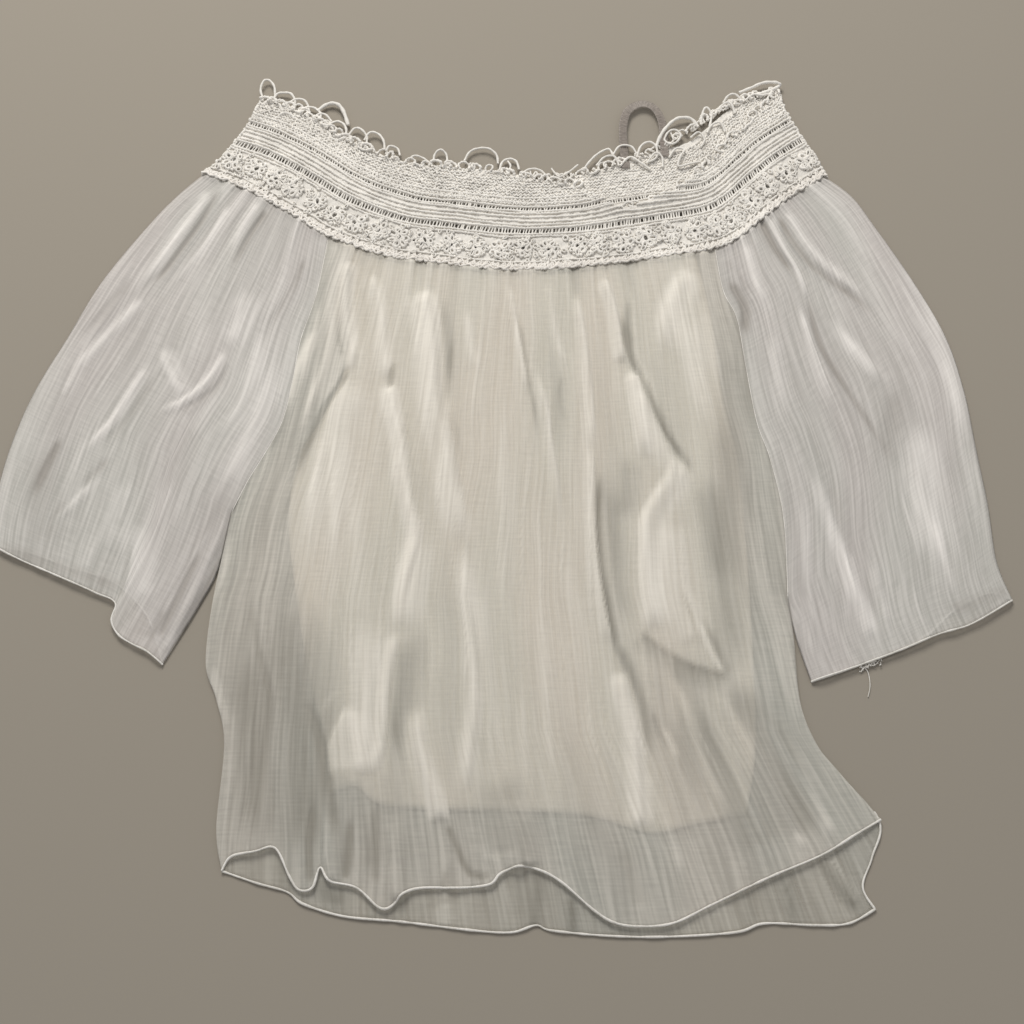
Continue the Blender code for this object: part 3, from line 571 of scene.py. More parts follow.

# Creases, each a route going down, then its height, its reach to the left and right, its tone, and where
# they aren't the usual ones, how much of it fades in and out and how sharp it is. Tone above 0 paints light
# where the cloth bunches and catches it, and tone below 0 paints the shade on a fold's far side. Rows with
# no height only paint light or shade on the cloth: broad painted shadows, a painted light band, and a
# painted shade along a doubled edge.
frontCreases = [
    ([(-122, 99), (-129, 80), (-135, 67), (-139, 46), (-144, 23)], 1.6, 4, 4, 0.75, 0.2, 0.4),
    ([(-135, 82), (-138, 61), (-141, 37), (-146, 20), (-151, 5)], -0.9, 2, 2.5, -0.6),
    ([(-122, 123), (-123, 99), (-127, 72), (-132, 50)], 1.0, 2.5, 2.5, 0.4),
    ([(-112, 123), (-112, 95), (-116, 69), (-123, 46), (-130, 23)], 1.2, 3, 3, 0.45),
    ([(-102, 150), (-104, 123), (-102, 101), (-97, 79), (-100, 66)], 2.6, 5, 5, 0.95, 0.08, 0.2, 0.9),
    ([(-107, 145), (-108, 115), (-106, 88), (-102, 72)], -0.8, 2, 2, -0.4, 0.2, 0.2),
    ([(-98, 72), (-104, 57), (-113, 40), (-120, 21), (-127, 2), (-130, -16)],
     -1.6, 3, 2.5, -0.9, 0.15, 0.35),
    ([(-94, 60), (-101, 35), (-106, -1), (-107, -40), (-104, -71)], 1.6, 15, 15, 0.5, 0.15, 0.5, 0.9),
    ([(-113, 24), (-117, -5), (-119, -40), (-119, -74)], 1.0, 4, 4, 0.4, 0.2, 0.5),
    ([(-108, 24), (-106, -12), (-104, -47), (-103, -78)], 0.8, 3, 3, 0.35, 0.2, 0.5),
    ([(-94, -12), (-90, -54), (-86, -94), (-85, -134)], 0.8, 5, 6, 0.3, 0.3, 0.4),
    ([(-87, 142), (-81, 123), (-77, 99), (-75, 75), (-73, 60)], 2.2, 7, 3.5, 0.65, 0.15, 0.15, 0.9),
    ([(-69, 72), (-71, 61), (-72, 51)], -1.2, 2, 2.5, -0.9),
    ([(-71, 57), (-68, 37), (-63, 15), (-61, -6), (-57, -27), (-52, -47),
      (-52, -59), (-56, -77), (-59, -94), (-62, -114)],
     3.2, 6.5, 4, 1.15, 0.05, 0.25, 0.9),
    ([(-62, 31), (-57, 2), (-54, -26), (-48, -47)], -0.8, 1.5, 3, -0.35, 0.2, 0.3),
    ([(-51, -50), (-49, -71), (-53, -94), (-59, -117)], 1.2, 8, 9, 0.55, 0.3, 0.3, 0.9),
    ([(-63, -116), (-66, -140), (-68, -161), (-69, -188), (-73, -206)], 2.2, 5, 4, 0.75, 0.15, 0.2, 0.9),
    ([(-59, -121), (-62, -147), (-64, -172), (-65, -197)], -0.9, 2, 6, -0.35, 0.2, 0.3),
    ([(-49, -108), (-52, -140), (-56, -172), (-59, -203)], -0.6, 9, 9, -0.3),
    ([(-51, 129), (-47, 107), (-44, 79), (-42, 45), (-37, 23), (-32, 0), (-28, -22), (-23, -48),
      (-20, -62)],
     3.6, 10, 7, 1.2, 0.06, 0.2, 0.9),
    ([(-38, 123), (-35, 88), (-33, 54)], -0.6, 2, 5, -0.35),
    ([(-34, 40), (-28, 17), (-23, -15), (-17, -47)], -1.0, 1.5, 3.5, -0.45, 0.2, 0.3),
    ([(-21, -59), (-19, -84), (-16, -109), (-14, -134), (-13, -163), (-16, -192), (-18, -221)],
     2.4, 6, 5, 0.8, 0.2, 0.15, 0.9),
    ([(-16, -108), (-10, -137), (-7, -172), (-8, -209)], -0.6, 2, 6, -0.25),
    ([(-47, -163), (-46, -187), (-41, -204), (-35, -221), (-32, -234)], 2.6, 7, 4, 0.95, 0.25, 0.08, 0.9),
    ([(-29, -236), (-24, -248), (-18, -261), (-12, -267), (1, -266)], -1.4, 2, 3, -0.8, 0.1, 0.25),
    ([(-9, -251), (1, -258), (15, -255)], 1.2, 4, 5, 0.3),
    ([(9, 134), (12, 108), (16, 84), (21, 52)], 1.6, 3, 1.5, 0.6, 0.2, 0.2),
    ([(13, 113), (17, 88), (21, 60), (25, 37), (27, 13)], -0.8, 1.5, 2, -0.55, 0.2, 0.3),
    ([(26, 67), (33, 40), (36, 15), (39, -10), (40, -40)], 2.4, 5, 2, 0.85, 0.25, 0.3),
    ([(0, 61), (2, 17), (4, -26), (4, -67), (6, -121)], 1.0, 5, 7, 0.35),
    ([(-10, -67), (-8, -108), (-4, -153), (-2, -203)], 0.9, 4, 5, 0.3),
    ([(-21, 113), (-18, 88), (-14, 65)], 1.2, 4, 4, 0.4),
    ([(-29, 92), (-32, 65), (-33, 40)], -0.7, 3, 2, -0.3),
    ([(35, 135), (38, 108), (42, 82), (49, 67)], 1.4, 3, 2.5, 0.5, 0.2, 0.3),
    ([(44, 67), (42, 46), (46, 24)], -0.5, 2, 2, -0.25),
    ([(25, -94), (31, -134), (33, -178), (36, -221)], 1.0, 4, 4, 0.3),
    ([(44, -67), (52, -108), (58, -153), (61, -197)], 0.9, 4, 4, 0.28),
    ([(15, -153), (17, -184), (21, -221)], 0.8, 3, 3, 0.25),
    ([(54, 126), (58, 99), (61, 70), (63, 37), (63, 8)], 2.4, 5, 2.5, 0.8, 0.15, 0.2),
    ([(63, 17), (63, -15), (63, -47), (66, -81), (69, -108), (72, -124)], 2.6, 6, 1.5, 0.6, 0.2, 0.1),
    ([(66, -6), (65, -40), (66, -72), (70, -100), (74, -122), (75, -134)], -1.6, 1.5, 3, -0.95, 0.2, 0.15),
    ([(70, -5), (73, -40), (77, -81), (81, -114)], -0.7, 3, 7, -0.3, 0.3, 0.2),
    ([(76, -124), (82, -141), (88, -159), (92, -178), (94, -198)], -1.2, 3, 4, -0.75, 0.15, 0.3),
    ([(75, -141), (79, -159), (83, -179), (85, -214), (86, -240)], 3.0, 6, 6, 1.1, 0.12, 0.1, 0.9),
    ([(92, -203), (94, -221), (95, -238)], 0.8, 3, 3, 0.3, 0.3, 0.2),
    ([(96, -167), (100, -181), (106, -192)], -0.8, 1.5, 2, -0.5, 0.2, 0.3),
    ([(102, -177), (107, -189), (111, -198)], 1.0, 2, 2, 0.7),
    ([(73, 138), (78, 124), (81, 108), (83, 88), (85, 73)], 3.0, 6, 2.5, 1.0, 0.12, 0.1, 0.9),
    ([(85, 110), (87, 88), (91, 72), (98, 57), (105, 37), (113, 18), (122, 2), (129, -12)],
     -2.2, 2, 3.5, -1.0, 0.15, 0.2),
    ([(92, 82), (97, 67), (104, 52), (109, 31), (119, 13), (127, -2)], 0.8, 1.2, 1.5, 0.35, 0.2, 0.2),
    ([(90, 123), (89, 99), (92, 82)], -0.7, 3, 3, -0.4, 0.3, 0.2),
    ([(89, 66), (92, 45), (95, 23), (97, 1)], 3.0, 5, 10, 1.0, 0.12, 0.3, 0.9),
    ([(96, 52), (103, 29), (110, 10), (117, -8)], 2.0, 8, 3, 0.7, 0.2, 0.15, 0.9),
    ([(88, 6), (86, -19), (83, -43)], -1.0, 8, 9, -0.35),
    ([(119, 4), (112, -13), (103, -27), (96, -41), (94, -62), (94, -88), (97, -116)],
     2.8, 4, 12, 0.95, 0.15, 0.12, 0.8),
    ([(121, -2), (119, -16), (116, -30)], 0.8, 2, 2.5, 0.5, 0.2, 0.3),
    ([(111, -40), (110, -67), (112, -97), (121, -125)], 1.0, 8, 13, 0.6, 0.2, 0.1, 0.8),
    ([(119, -84), (126, -105), (131, -125), (140, -144)], 1.2, 2, 3, 0.6, 0.3, 0.08),
    ([(116, -88), (123, -109), (128, -129)], -0.6, 1.2, 1.5, -0.45),
    ([(125, -101), (135, -123), (144, -145)], -0.8, 1.5, 3, -0.5, 0.3, 0.1),
    ([(90, -116), (102, -127), (118, -137), (135, -143), (146, -148)], -1.4, 9, 2, -0.6, 0.1, 0.15),
    ([(133, 145), (121, 124), (113, 101), (112, 75)], 1.6, 7, 11, 0.8, 0.15, 0.4, 0.9),
    ([(126, 115), (132, 84), (139, 46), (146, 10)], 1.0, 9, 12, 0.5, 0.3, 0.4, 0.9),
    ([(139, 123), (145, 84), (151, 46)], 0.6, 3, 3, 0.3),
    ([(135, -9), (139, -47), (143, -88)], -0.8, 9, 12, -0.4),
    ([(164, 123), (166, 88), (167, 46), (168, 10)], -0.8, 4, 5, -0.45, 0.2, 0.4),
    ([(144, -148), (156, -166), (170, -187), (180, -215), (186, -246)], -0.8, 12, 10, -0.5, 0.2, 0.1),
    ([(102, -136), (116, -163), (127, -202), (139, -230)], 1.0, 3, 3, 0.4, 0.3, 0.2),
    ([(138, -155), (152, -186), (169, -221), (184, -252)], 1.2, 3, 3, 0.5, 0.25, 0.1),
    ([(159, -163), (173, -192), (187, -217), (200, -244)], 1.2, 4, 4, 0.45, 0.3, 0.1),
    ([(126, -153), (140, -190), (152, -221), (160, -251)], 0.8, 2.5, 3, 0.35, 0.3, 0.2),
    ([(96, -215), (105, -245), (110, -268)], 0.8, 3, 3, 0.25, 0.3, 0.2),
    ([(74, -245), (81, -268), (85, -285)], -0.8, 5, 5, -0.3, 0.3, 0.1),
    ([(168, -67), (176, -108), (182, -147), (193, -184)], 1.0, 6, 6, 0.35),
    ([(-130, -94), (-124, -140), (-119, -184), (-119, -227), (-115, -256)],
     -0.4, 18, 18, -0.6, 0.3, 0.15, 0.8),
    ([(-141, -121), (-140, -159), (-141, -203), (-138, -251)], -0.4, 10, 12, -0.45, 0.3, 0.2, 0.8),
    ([(-160, -127), (-154, -159), (-149, -203), (-152, -245)], -0.3, 8, 10, -0.35, 0.3, 0.2, 0.8),
    ([(-176, -134), (-169, -157), (-160, -182)], 0.9, 4, 3, 0.4),
    ([(-154, -94), (-149, -125), (-139, -158), (-140, -189), (-143, -221)], -0.8, 2, 2.5, -0.45, 0.2, 0.3),
    ([(-148, -101), (-141, -134), (-134, -163), (-134, -197)], 0.7, 2, 2, 0.3, 0.2, 0.3),
    ([(-117, -159), (-111, -173), (-104, -192), (-101, -209), (-98, -222), (-94, -245)],
     -1.6, 4, 3, -0.75, 0.2, 0.2),
    ([(-109, -163), (-107, -169), (-102, -159), (-95, -155)], 0.5, 2, 2, 0.25),
    ([(-90, -163), (-97, -179), (-101, -194), (-99, -208)], 1.2, 2, 14, 0.75, 0.2, 0.15, 0.8),
    ([(-82, -108), (-80, -147), (-79, -178), (-79, -209)], 2.0, 9, 10, 0.8, 0.3, 0.12, 0.8),
    ([(-109, -223), (-110, -251), (-108, -270)], -2.2, 2.5, 3, -0.7, 0.3, 0.05),
    ([(-104, -221), (-101, -245), (-102, -261)], 0.8, 3, 3, 0.2, 0.3, 0.1),
    ([(-86, -232), (-87, -252), (-88, -268)], -2.2, 2.5, 3, -0.75, 0.3, 0.05),
    ([(-69, -221), (-70, -246), (-69, -270)], -1.2, 5, 2, -0.5, 0.3, 0.05),
    ([(-99, -233), (-97, -251), (-95, -269)], 2.2, 6, 5, 0.1, 0.4, 0.05),
    ([(-62, -230), (-59, -254), (-57, -280)], 3.0, 8, 9, 0.15, 0.4, 0.05),
    ([(-28, -261), (-29, -270), (-32, -280)], -1.2, 3, 3, -0.5, 0.3, 0.05),
    ([(12, -221), (15, -248), (17, -261)], 4.0, 13, 15, 0.05, 0.5, 0.02),
    # Rows with no height: broad painted shadows and one painted light band; the widest, over the lower left,
    # is a painted cast shadow.
    ([(120, -159), (143, -205), (163, -250)], 0, 24, 30, -0.4, 0.3, 0.1, 0.9),
    ([(149, 76), (150, 10), (148, -54), (144, -121), (135, -159)], 0, 10, 13, -0.42, 0.15, 0.2, 0.8),
    ([(-111, 183), (-108, 123), (-107, 69), (-111, 17)], 0, 11, 11, 0.42, 0.1, 0.3, 0.9),
    ([(109, -127), (109, -184), (108, -251)], 0, 20, 20, -0.3, 0.2, 0.2, 0.9),
    ([(-153, -67), (-126, -147), (-101, -215), (-87, -268)], 0, 34, 34, -0.36, 0.3, 0.05, 0.8),
    ([(3, -203), (7, -233), (12, -260)], 0, 14, 16, -0.34, 0.3, 0.1, 0.9),
]
# The back's creases barely rise; their tone paints shade along its fold lines, and a little light.
backCreases = [
    ([(191, -255), (199, -268), (208, -282), (211, -286)], 0.3, 2.5, 3.5, -1.0, 0.15, 0.1, 0.7),
    ([(196, -254), (204, -267), (213, -280)], 0.3, 2, 5, 0.5, 0.2, 0.1),
    ([(24, -261), (24, -280), (23, -298)], 0.2, 4, 5, -0.7, 0.1, 0.1),
    ([(44, -277), (45, -288), (45, -299)], 0.2, 3, 4, -0.8, 0.1, 0.1),
    ([(171, -267), (172, -280), (174, -292)], 0.2, 1.5, 2, -0.6, 0.1, 0.1),
    ([(149, -274), (150, -282), (151, -290)], 0.2, 2, 2.5, -0.5, 0.1, 0.1),
    ([(-108, -270), (-103, -274), (-97, -277), (-88, -281)], 0.2, 5, 6, -0.6, 0.2, 0.2),
    ([(-59, -288), (-54, -281), (-51, -276)], 0.2, 4, 5, -0.6, 0.2, 0.2),
    ([(85, -282), (108, -290), (138, -282)], 0.2, 3, 5, 0.3, 0.2, 0.2),
    ([(-32, -282), (-27, -294)], 0.2, 8, 9, 0.35, 0.2, 0.2),
]


def crinkles(u, v, below, seed):
    # Gathers below the band, and the cloth's own crinkles everywhere: soft ones, thin raised lines of
    # uneven length, and broad stretches that lie lighter or darker.
    look = crinkleLook
    gather = grainNoise(u, v, gatherLook["pitch"], gatherLook["run"], seed) * 0.5 + 0.5
    height = gather * gatherLook["height"] * np.exp(-below / gatherLook["fade"])
    height = height + grainNoise(u, v, look["pitch"], look["run"], seed + 1) * look["height"]
    wide = grainNoise(u, v, look["widePitch"], look["wideRun"], seed + 2)
    lines = grainNoise(u, v, look["linePitch"], look["lineRun"], seed + 3)
    lines = np.clip((lines - look["lineFrom"]) / (1 - look["lineFrom"]), 0, 1)
    broad = grainNoise(u, v, look["bandPitch"], look["bandRun"], seed + 4)
    height = height + wide * look["wideHeight"] + lines * look["lineHeight"]
    # Painted light on the raised lines and on the tops of the wide crinkles and gathers, painted shade in
    # their troughs; the broad stretches are lighter or darker at random.
    tone = lines * look["lineTone"] + broad * look["bandTone"] + wide * look["wideTone"]
    tone = tone + (gather - 0.5) * gatherLook["tone"] * np.exp(-below / gatherLook["fade"])
    return height, tone


armpit = rowShares["raglan"] / (rowShares["raglan"] + rowShares["side"])
footLine = Line(bandFoot)
bodyTop = footLine.stretch(footLine.shareAtX(raglanLeft[0][0]), footLine.shareAtX(raglanRight[0][0]))
leftEdge = joined(Line(raglanLeft), rowShares["raglan"], Line(sideLeft), rowShares["side"])
frontRightEdge = joined(Line(raglanRight), rowShares["raglan"], Line(sideRight), rowShares["side"])
backRightEdge = joined(Line(raglanRight), rowShares["raglan"], Line(backSideRight), rowShares["side"])
frontSheet = patch(bodyTop, Line(frontHem).at, leftEdge, frontRightEdge)
backSheet = patch(bodyTop, Line(backHem).at, leftEdge, backRightEdge)


def wavy(grain):
    # Threads wander a little, so their crinkles bend.
    look = crinkleLook
    bend = grainNoise(grain[:, 0], grain[:, 1], look["bendPitch"], look["bendRun"], 7) * look["bend"]
    return grain + np.column_stack([bend, 0 * bend])


# The way the body's threads run, as x at the left and right for each y.
bodyGrain = {"top": 170.0, "y": (-300, -250, -180, -94, 28, 161), 
             "left": (-172, -172, -171, -168, -146, -118), "right": (250, 232, 198, 184, 172, 151)}


def bodyThreads(spot, look):
    # Where a place lies on the cloth: across the threads and along them.
    x, y = spot[:, 0], spot[:, 1]
    left = np.interp(y, bodyGrain["y"], bodyGrain["left"])
    right = np.interp(y, bodyGrain["y"], bodyGrain["right"])
    return wavy(np.stack([(x - left) / (right - left) * look["width"], bodyGrain["top"] - y], axis=-1))


def streaked(tone, grain):
    # A fold's painted light or shade, broken up along the threads and never quite flat.
    look = crinkleLook
    streaks = grainNoise(grain[:, 0], grain[:, 1], look["streakPitch"], look["streakRun"], 8)
    return np.tanh(look["foldTone"] * tone * (1 + streaks * look["foldStreak"]))


def layFront(u, v):
    spot = frontSheet(u, v)
    x, y = spot[:, 0], spot[:, 1]
    width = np.linalg.norm(leftEdge(v) - frontRightEdge(v), axis=-1)
    inward = ease((np.minimum(u, 1 - u) * width - frontLook["seamFlat"]) / frontLook["edgeRise"])
    below = np.linalg.norm(spot - bodyTop(u), axis=-1)
    grain = bodyThreads(spot, frontLook)
    height, tone = creaseField(x, y, frontCreases)
    crinkle, shade = crinkles(grain[:, 0], grain[:, 1], below, 11)
    height, tone = height + crinkle, streaked(tone, grain) + shade
    rise = np.maximum(layerHeight["front"] - layerHeight["side"] + height, 0.1)
    z = layerHeight["side"] + rise * inward
    seamRise = (layerHeight["raglan"] - layerHeight["side"]) * (1 - inward)
    z = z + seamRise * ease((armpit - v) * frontLook["armpitBlend"])
    return np.column_stack([spot, z]), tone, grain


def layBack(u, v):
    spot = backSheet(u, v)
    grain = bodyThreads(spot, backLook)
    height, tone = creaseField(spot[:, 0], spot[:, 1], backCreases)
    look = backLook
    height = height + grainNoise(grain[:, 0], grain[:, 1], look["pitch"], look["run"], 31) * look["height"]
    drift = grainNoise(grain[:, 0], grain[:, 1], look["tonePitch"], look["toneRun"], 32)
    tone = tone + drift * look["tone"]
    z = layerHeight["back"] + np.clip(height, look["lowest"], look["highest"])
    return np.column_stack([spot, z]), tone, grain


liningTopLine = footLine.stretch(*(footLine.shareAtX(x) for x in liningTop))
liningSheet = patch(liningTopLine, Line(liningHem).at,
                    Line([tuple(liningTopLine(0.0))] + liningLeft).at,
                    Line([tuple(liningTopLine(1.0))] + liningRight).at)


def layLining(u, v):
    spot = liningSheet(u, v)
    look = liningCloth
    grain = np.stack([u * look["width"], v * look["length"]], axis=-1)
    height = grainNoise(grain[:, 0], grain[:, 1], look["pitch"], look["run"], 41) * look["height"]
    return np.column_stack([spot, layerHeight["lining"] + height]), np.zeros(len(u)), grain


def layPanel(name, look, place):
    return layGrid(name, look["columns"], look["rows"], place, look["wall"])


frontPanel = layPanel("frontPanelCloth", frontLook, layFront)
backPanel = layPanel("backPanelCloth", backLook, layBack)
lining = layPanel("liningCloth", liningCloth, layLining)
dress(frontPanel, bodyGauze, "gauze", "front_panel", inner=gauzeInner)
dress(backPanel, shadedBackGauze, "gauze", "back_panel", inner=gauzeInner)
dress(lining, liningVoile, "lining", "lining", inner=liningInner)
print("body:", [(piece.name, round(meshArea(piece) / 2, 4)) for piece in (frontPanel, backPanel, lining)])

# Sleeves
sleeveLook = {"upperColumns": 140, "underColumns": 46, "rows": 133, "width": 190.0, "length": 330.0,
              "wall": 0.3, "edge": 5.0, "deepest": -1.3, "underRelief": 0.15, "underTone": 0.3}
leftSleeveCreases = [
    ([(-196, 210), (-206, 187), (-216, 168), (-229, 145), (-242, 129)], -1.6, 2.5, 3, -0.85, 0.1, 0.3),
    ([(-202, 210), (-212, 187), (-223, 168), (-236, 146), (-252, 123)], 1.6, 6, 3, 0.5, 0.1, 0.4),
    ([(-189, 199), (-198, 175), (-209, 154), (-224, 130)], 1.0, 2.5, 3, 0.4, 0.15, 0.4),
    ([(-162, 193), (-172, 175), (-179, 158), (-185, 142)], -1.2, 2.5, 3, -0.65, 0.1, 0.4),
    ([(-168, 198), (-178, 177), (-185, 158)], 0.9, 3, 2, 0.35, 0.15, 0.4),
    ([(-133, 153), (-139, 134), (-146, 116), (-153, 99)], -0.8, 2.5, 3, -0.45, 0.1, 0.4),
    ([(-250, 138), (-262, 121), (-272, 105), (-282, 92)], -0.9, 4, 5, -0.5, 0.25, 0.3),
    ([(-241, 123), (-256, 102), (-270, 84), (-282, 67)], 1.4, 5, 4, 0.55, 0.2, 0.3),
    ([(-275, 82), (-283, 64), (-289, 46)], 0.8, 3, 3, 0.35),
    ([(-228, 84), (-220, 67), (-209, 46)], 1.2, 3, 7, 0.55, 0.3, 0.2),
    ([(-206, 48), (-214, 63), (-222, 79)], -0.5, 2, 4, -0.25),
    ([(-183, 82), (-189, 66), (-199, 52), (-211, 42), (-225, 36)], 1.6, 3, 3, 0.7, 0.2, 0.3),
    ([(-180, 72), (-187, 55), (-198, 45), (-213, 34)], -0.8, 2, 4, -0.4, 0.2, 0.3),
    ([(-234, 70), (-243, 51), (-253, 31), (-263, 17), (-271, 7)], 1.6, 3, 3, 0.65, 0.2, 0.3),
    ([(-227, 66), (-237, 45), (-248, 26), (-261, 8)], -0.7, 3, 4, -0.3, 0.2, 0.3),
    ([(-286, 18), (-292, 2), (-296, -10), (-301, -27)], -1.1, 3, 3, -0.65, 0.2, 0.4),
    ([(-254, 4), (-261, -8), (-270, -19)], -0.9, 3, 4, -0.5),
    ([(-257, -5), (-268, -23), (-282, -40), (-293, -54)], 1.0, 3, 3, 0.4, 0.2, 0.4),
    ([(-277, -26), (-284, -40), (-292, -55)], -0.6, 4, 5, -0.3),
    ([(-170, 130), (-175, 99), (-184, 84)], 1.0, 8, 8, 0.35),
    ([(-158, 99), (-162, 69), (-171, 39), (-185, 17)], 1.0, 5, 5, 0.35),
    ([(-147, 76), (-156, 39), (-169, 2), (-176, -26)], 0.9, 5, 6, 0.35, 0.3, 0.4),
    ([(-196, 24), (-204, 1), (-211, -26)], -0.5, 9, 9, -0.25),
    ([(-239, -12), (-242, -40), (-243, -67)], 0.9, 8, 9, 0.35),
    # Painted shade along the cuff's doubled edge, with no height.
    ([(-318, -59), (-299, -66), (-278, -73), (-252, -82), (-238, -88)], 0, 3.4, 3.4, -0.5, 0.02, 0.05, 0.5),
    ([(-171, -33), (-176, -54), (-184, -72), (-190, -92), (-198, -113), (-203, -130)],
     2.2, 6, 3, 0.35, 0.2, 0.05),
    ([(-188, -62), (-196, -80), (-205, -105), (-210, -121)], -1.2, 2.5, 3, -0.7, 0.2, 0.1),
    ([(-182, -47), (-192, -65), (-202, -88), (-209, -108)], 0.8, 2, 2, 0.3, 0.2, 0.1),
    ([(-171, -40), (-174, -62), (-184, -88), (-200, -127)], -1.0, 1.5, 2, -0.8, 0.15, 0.05),
    ([(-237, -94), (-235, -74), (-233, -47)], -0.7, 2, 2, -0.35, 0.1, 0.5),
    ([(-216, -121), (-211, -109), (-206, -98)], -1.0, 2.5, 2.5, -0.5, 0.1, 0.4),
    ([(-234, -40), (-228, -67), (-222, -98)], 0.5, 9, 10, 0.3, 0.3, 0.2),
    # Broad painted shade with no height, two rows.
    ([(-174, -5), (-182, -47), (-194, -88), (-204, -127)], 0, 15, 15, -0.42, 0.3, 0.2, 0.8),
    ([(-307, 17), (-292, -26), (-278, -64)], 0, 14, 16, -0.25, 0.3, 0.2, 0.9),
]
rightSleeveCreases = [
    ([(196, 188), (203, 170), (213, 153), (227, 137), (241, 126), (250, 116), (256, 104)],
     -1.6, 2.5, 3, -0.85, 0.1, 0.25),
    ([(201, 190), (210, 169), (221, 153), (236, 137), (253, 119)], 1.6, 2.5, 6, 0.45, 0.1, 0.4),
    ([(184, 185), (191, 164), (199, 150), (205, 140)], -1.4, 3, 3, -0.8, 0.1, 0.4),
    ([(190, 187), (198, 162), (209, 135), (212, 123)], 1.3, 2.5, 3.5, 0.45, 0.1, 0.3),
    ([(172, 166), (177, 142), (181, 115)], 0.9, 3, 4, 0.35, 0.2, 0.4),
    ([(211, 127), (214, 107), (217, 88), (223, 73), (231, 57), (240, 39), (249, 20), (258, 1)],
     -1.4, 2, 2.5, -0.8, 0.15, 0.3),
    ([(207, 115), (212, 87), (219, 61), (225, 34)], 1.4, 6, 2, 0.5, 0.2, 0.4),
    ([(226, 107), (236, 88), (248, 72), (259, 55)], 0.9, 4, 5, 0.4),
    ([(233, 93), (246, 75), (254, 60)], 0.6, 5, 6, 0.3),
    ([(208, -5), (210, -20), (214, -40), (219, -61), (225, -84), (231, -102), (235, -121)],
     1.8, 5, 5, 0.65, 0.25, 0.1),
    ([(216, -12), (219, -36), (226, -67)], -0.5, 3, 5, -0.25, 0.3, 0.4),
    ([(290, 123), (300, 92), (306, 54), (308, 10)], 0.8, 7, 8, 0.4, 0.3, 0.4),
    ([(279, 154), (293, 123), (303, 88)], 0.7, 4, 4, 0.35),
    ([(275, 31), (277, -5), (279, -40), (283, -74)], 1.0, 14, 14, 0.5, 0.3, 0.3, 0.9),
    ([(269, 58), (260, 24), (253, -8)], -0.7, 9, 10, -0.45),
    ([(158, 135), (165, 127), (169, 113), (166, 92)], -1.4, 3.5, 4, -1.0, 0.2, 0.25, 0.8),
    ([(166, 95), (165, 75), (165, 51)], -0.8, 2, 2, -0.6, 0.2, 0.3),
    ([(156, 153), (165, 142), (175, 123)], -0.5, 2.5, 2.5, -0.3, 0.2, 0.3),
    ([(187, 99), (188, 61), (191, 24)], 0.9, 5, 6, 0.35, 0.3, 0.4),
    ([(193, 17), (197, -26), (198, -67), (199, -108)], 0.8, 4, 5, 0.25),
    ([(192, -5), (191, -40), (191, -74), (191, -108)], -0.5, 4, 5, -0.2),
    ([(239, -67), (243, -94), (247, -114)], 0.7, 3, 3, 0.3),
    ([(280, -40), (286, -67), (290, -94)], 0.7, 3, 3, 0.35),
    # Painted shade along the cuff's doubled edge, with no height.
    ([(287, -102), (298, -98), (310, -94), (322, -89)], 0, 3.4, 3.4, -0.45, 0.03, 0.03, 0.5),
]


def laySleeve(name, node, seam, fold, underarm, cuff, underCuff, creases, seed):
    inner = joined(Line(seam), rowShares["raglan"], Line(underarm), rowShares["underarm"])
    outer = Line(fold).at
    ends = (footLine.shareAtX(seam[0][0]), footLine.shareAtX(fold[0][0]))
    top = footLine.stretch(*ends)
    upper = patch(top, Line(cuff).at, inner, outer)
    under = patch(top, Line(underCuff).at, inner, outer)
    closedFrom = rowShares["raglan"] / (rowShares["raglan"] + rowShares["underarm"])
    around = sleeveLook["upperColumns"] + sleeveLook["underColumns"]

    def place(u, v):
        # Round the tube: over the front from its seam to the fold, then back beneath.
        column = u * around
        above = column <= sleeveLook["upperColumns"]
        share = np.where(above, column / sleeveLook["upperColumns"],
                         (around - column) / sleeveLook["underColumns"])
        spot = np.where(above[:, None], upper(share, v), under(share, v))
        span = np.linalg.norm(inner(v) - outer(v), axis=-1)
        below = np.linalg.norm(spot - top(share), axis=-1)
        across = np.where(above, share, 2 - share)
        grain = wavy(np.stack([across * sleeveLook["width"], v * sleeveLook["length"]], axis=-1))
        height, tone = creaseField(spot[:, 0], spot[:, 1], creases)
        crinkle, shade = crinkles(grain[:, 0], grain[:, 1], below, seed)
        height, tone = height + crinkle, streaked(tone, grain) + shade
        toFold = np.sqrt(ease((1 - share) * span / sleeveLook["edge"]))
        toSeam = np.sqrt(ease(share * span / sleeveLook["edge"]))
        seamHeight = np.where(v < closedFrom - 1e-6,
                              np.where(above, layerHeight["raglan"], layerHeight["sleeveUnder"]),
                              layerHeight["sleeveFold"])
        full = np.where(above, layerHeight["sleeveUpper"] + np.maximum(height, sleeveLook["deepest"]),
                        layerHeight["sleeveUnder"] + np.clip(height, -1, 1) * sleeveLook["underRelief"])
        z = layerHeight["sleeveFold"] + (full - layerHeight["sleeveFold"]) * toFold
        z = seamHeight + (z - seamHeight) * toSeam
        tone = np.where(above, tone, tone * sleeveLook["underTone"])
        return np.column_stack([spot, z]), tone, grain

    sleeve = layGrid(name, around, sleeveLook["rows"], place, sleeveLook["wall"], weld=True)
    dress(sleeve, sleeveGauze, "gauze", node, inner=gauzeInner)
    columns = np.arange(around + 1) / around
    cuffLine = place(columns, np.ones(around + 1))[0]
    seamLine = place(np.zeros(80), np.linspace(0, closedFrom, 80))[0]
    return sleeve, cuffLine, seamLine


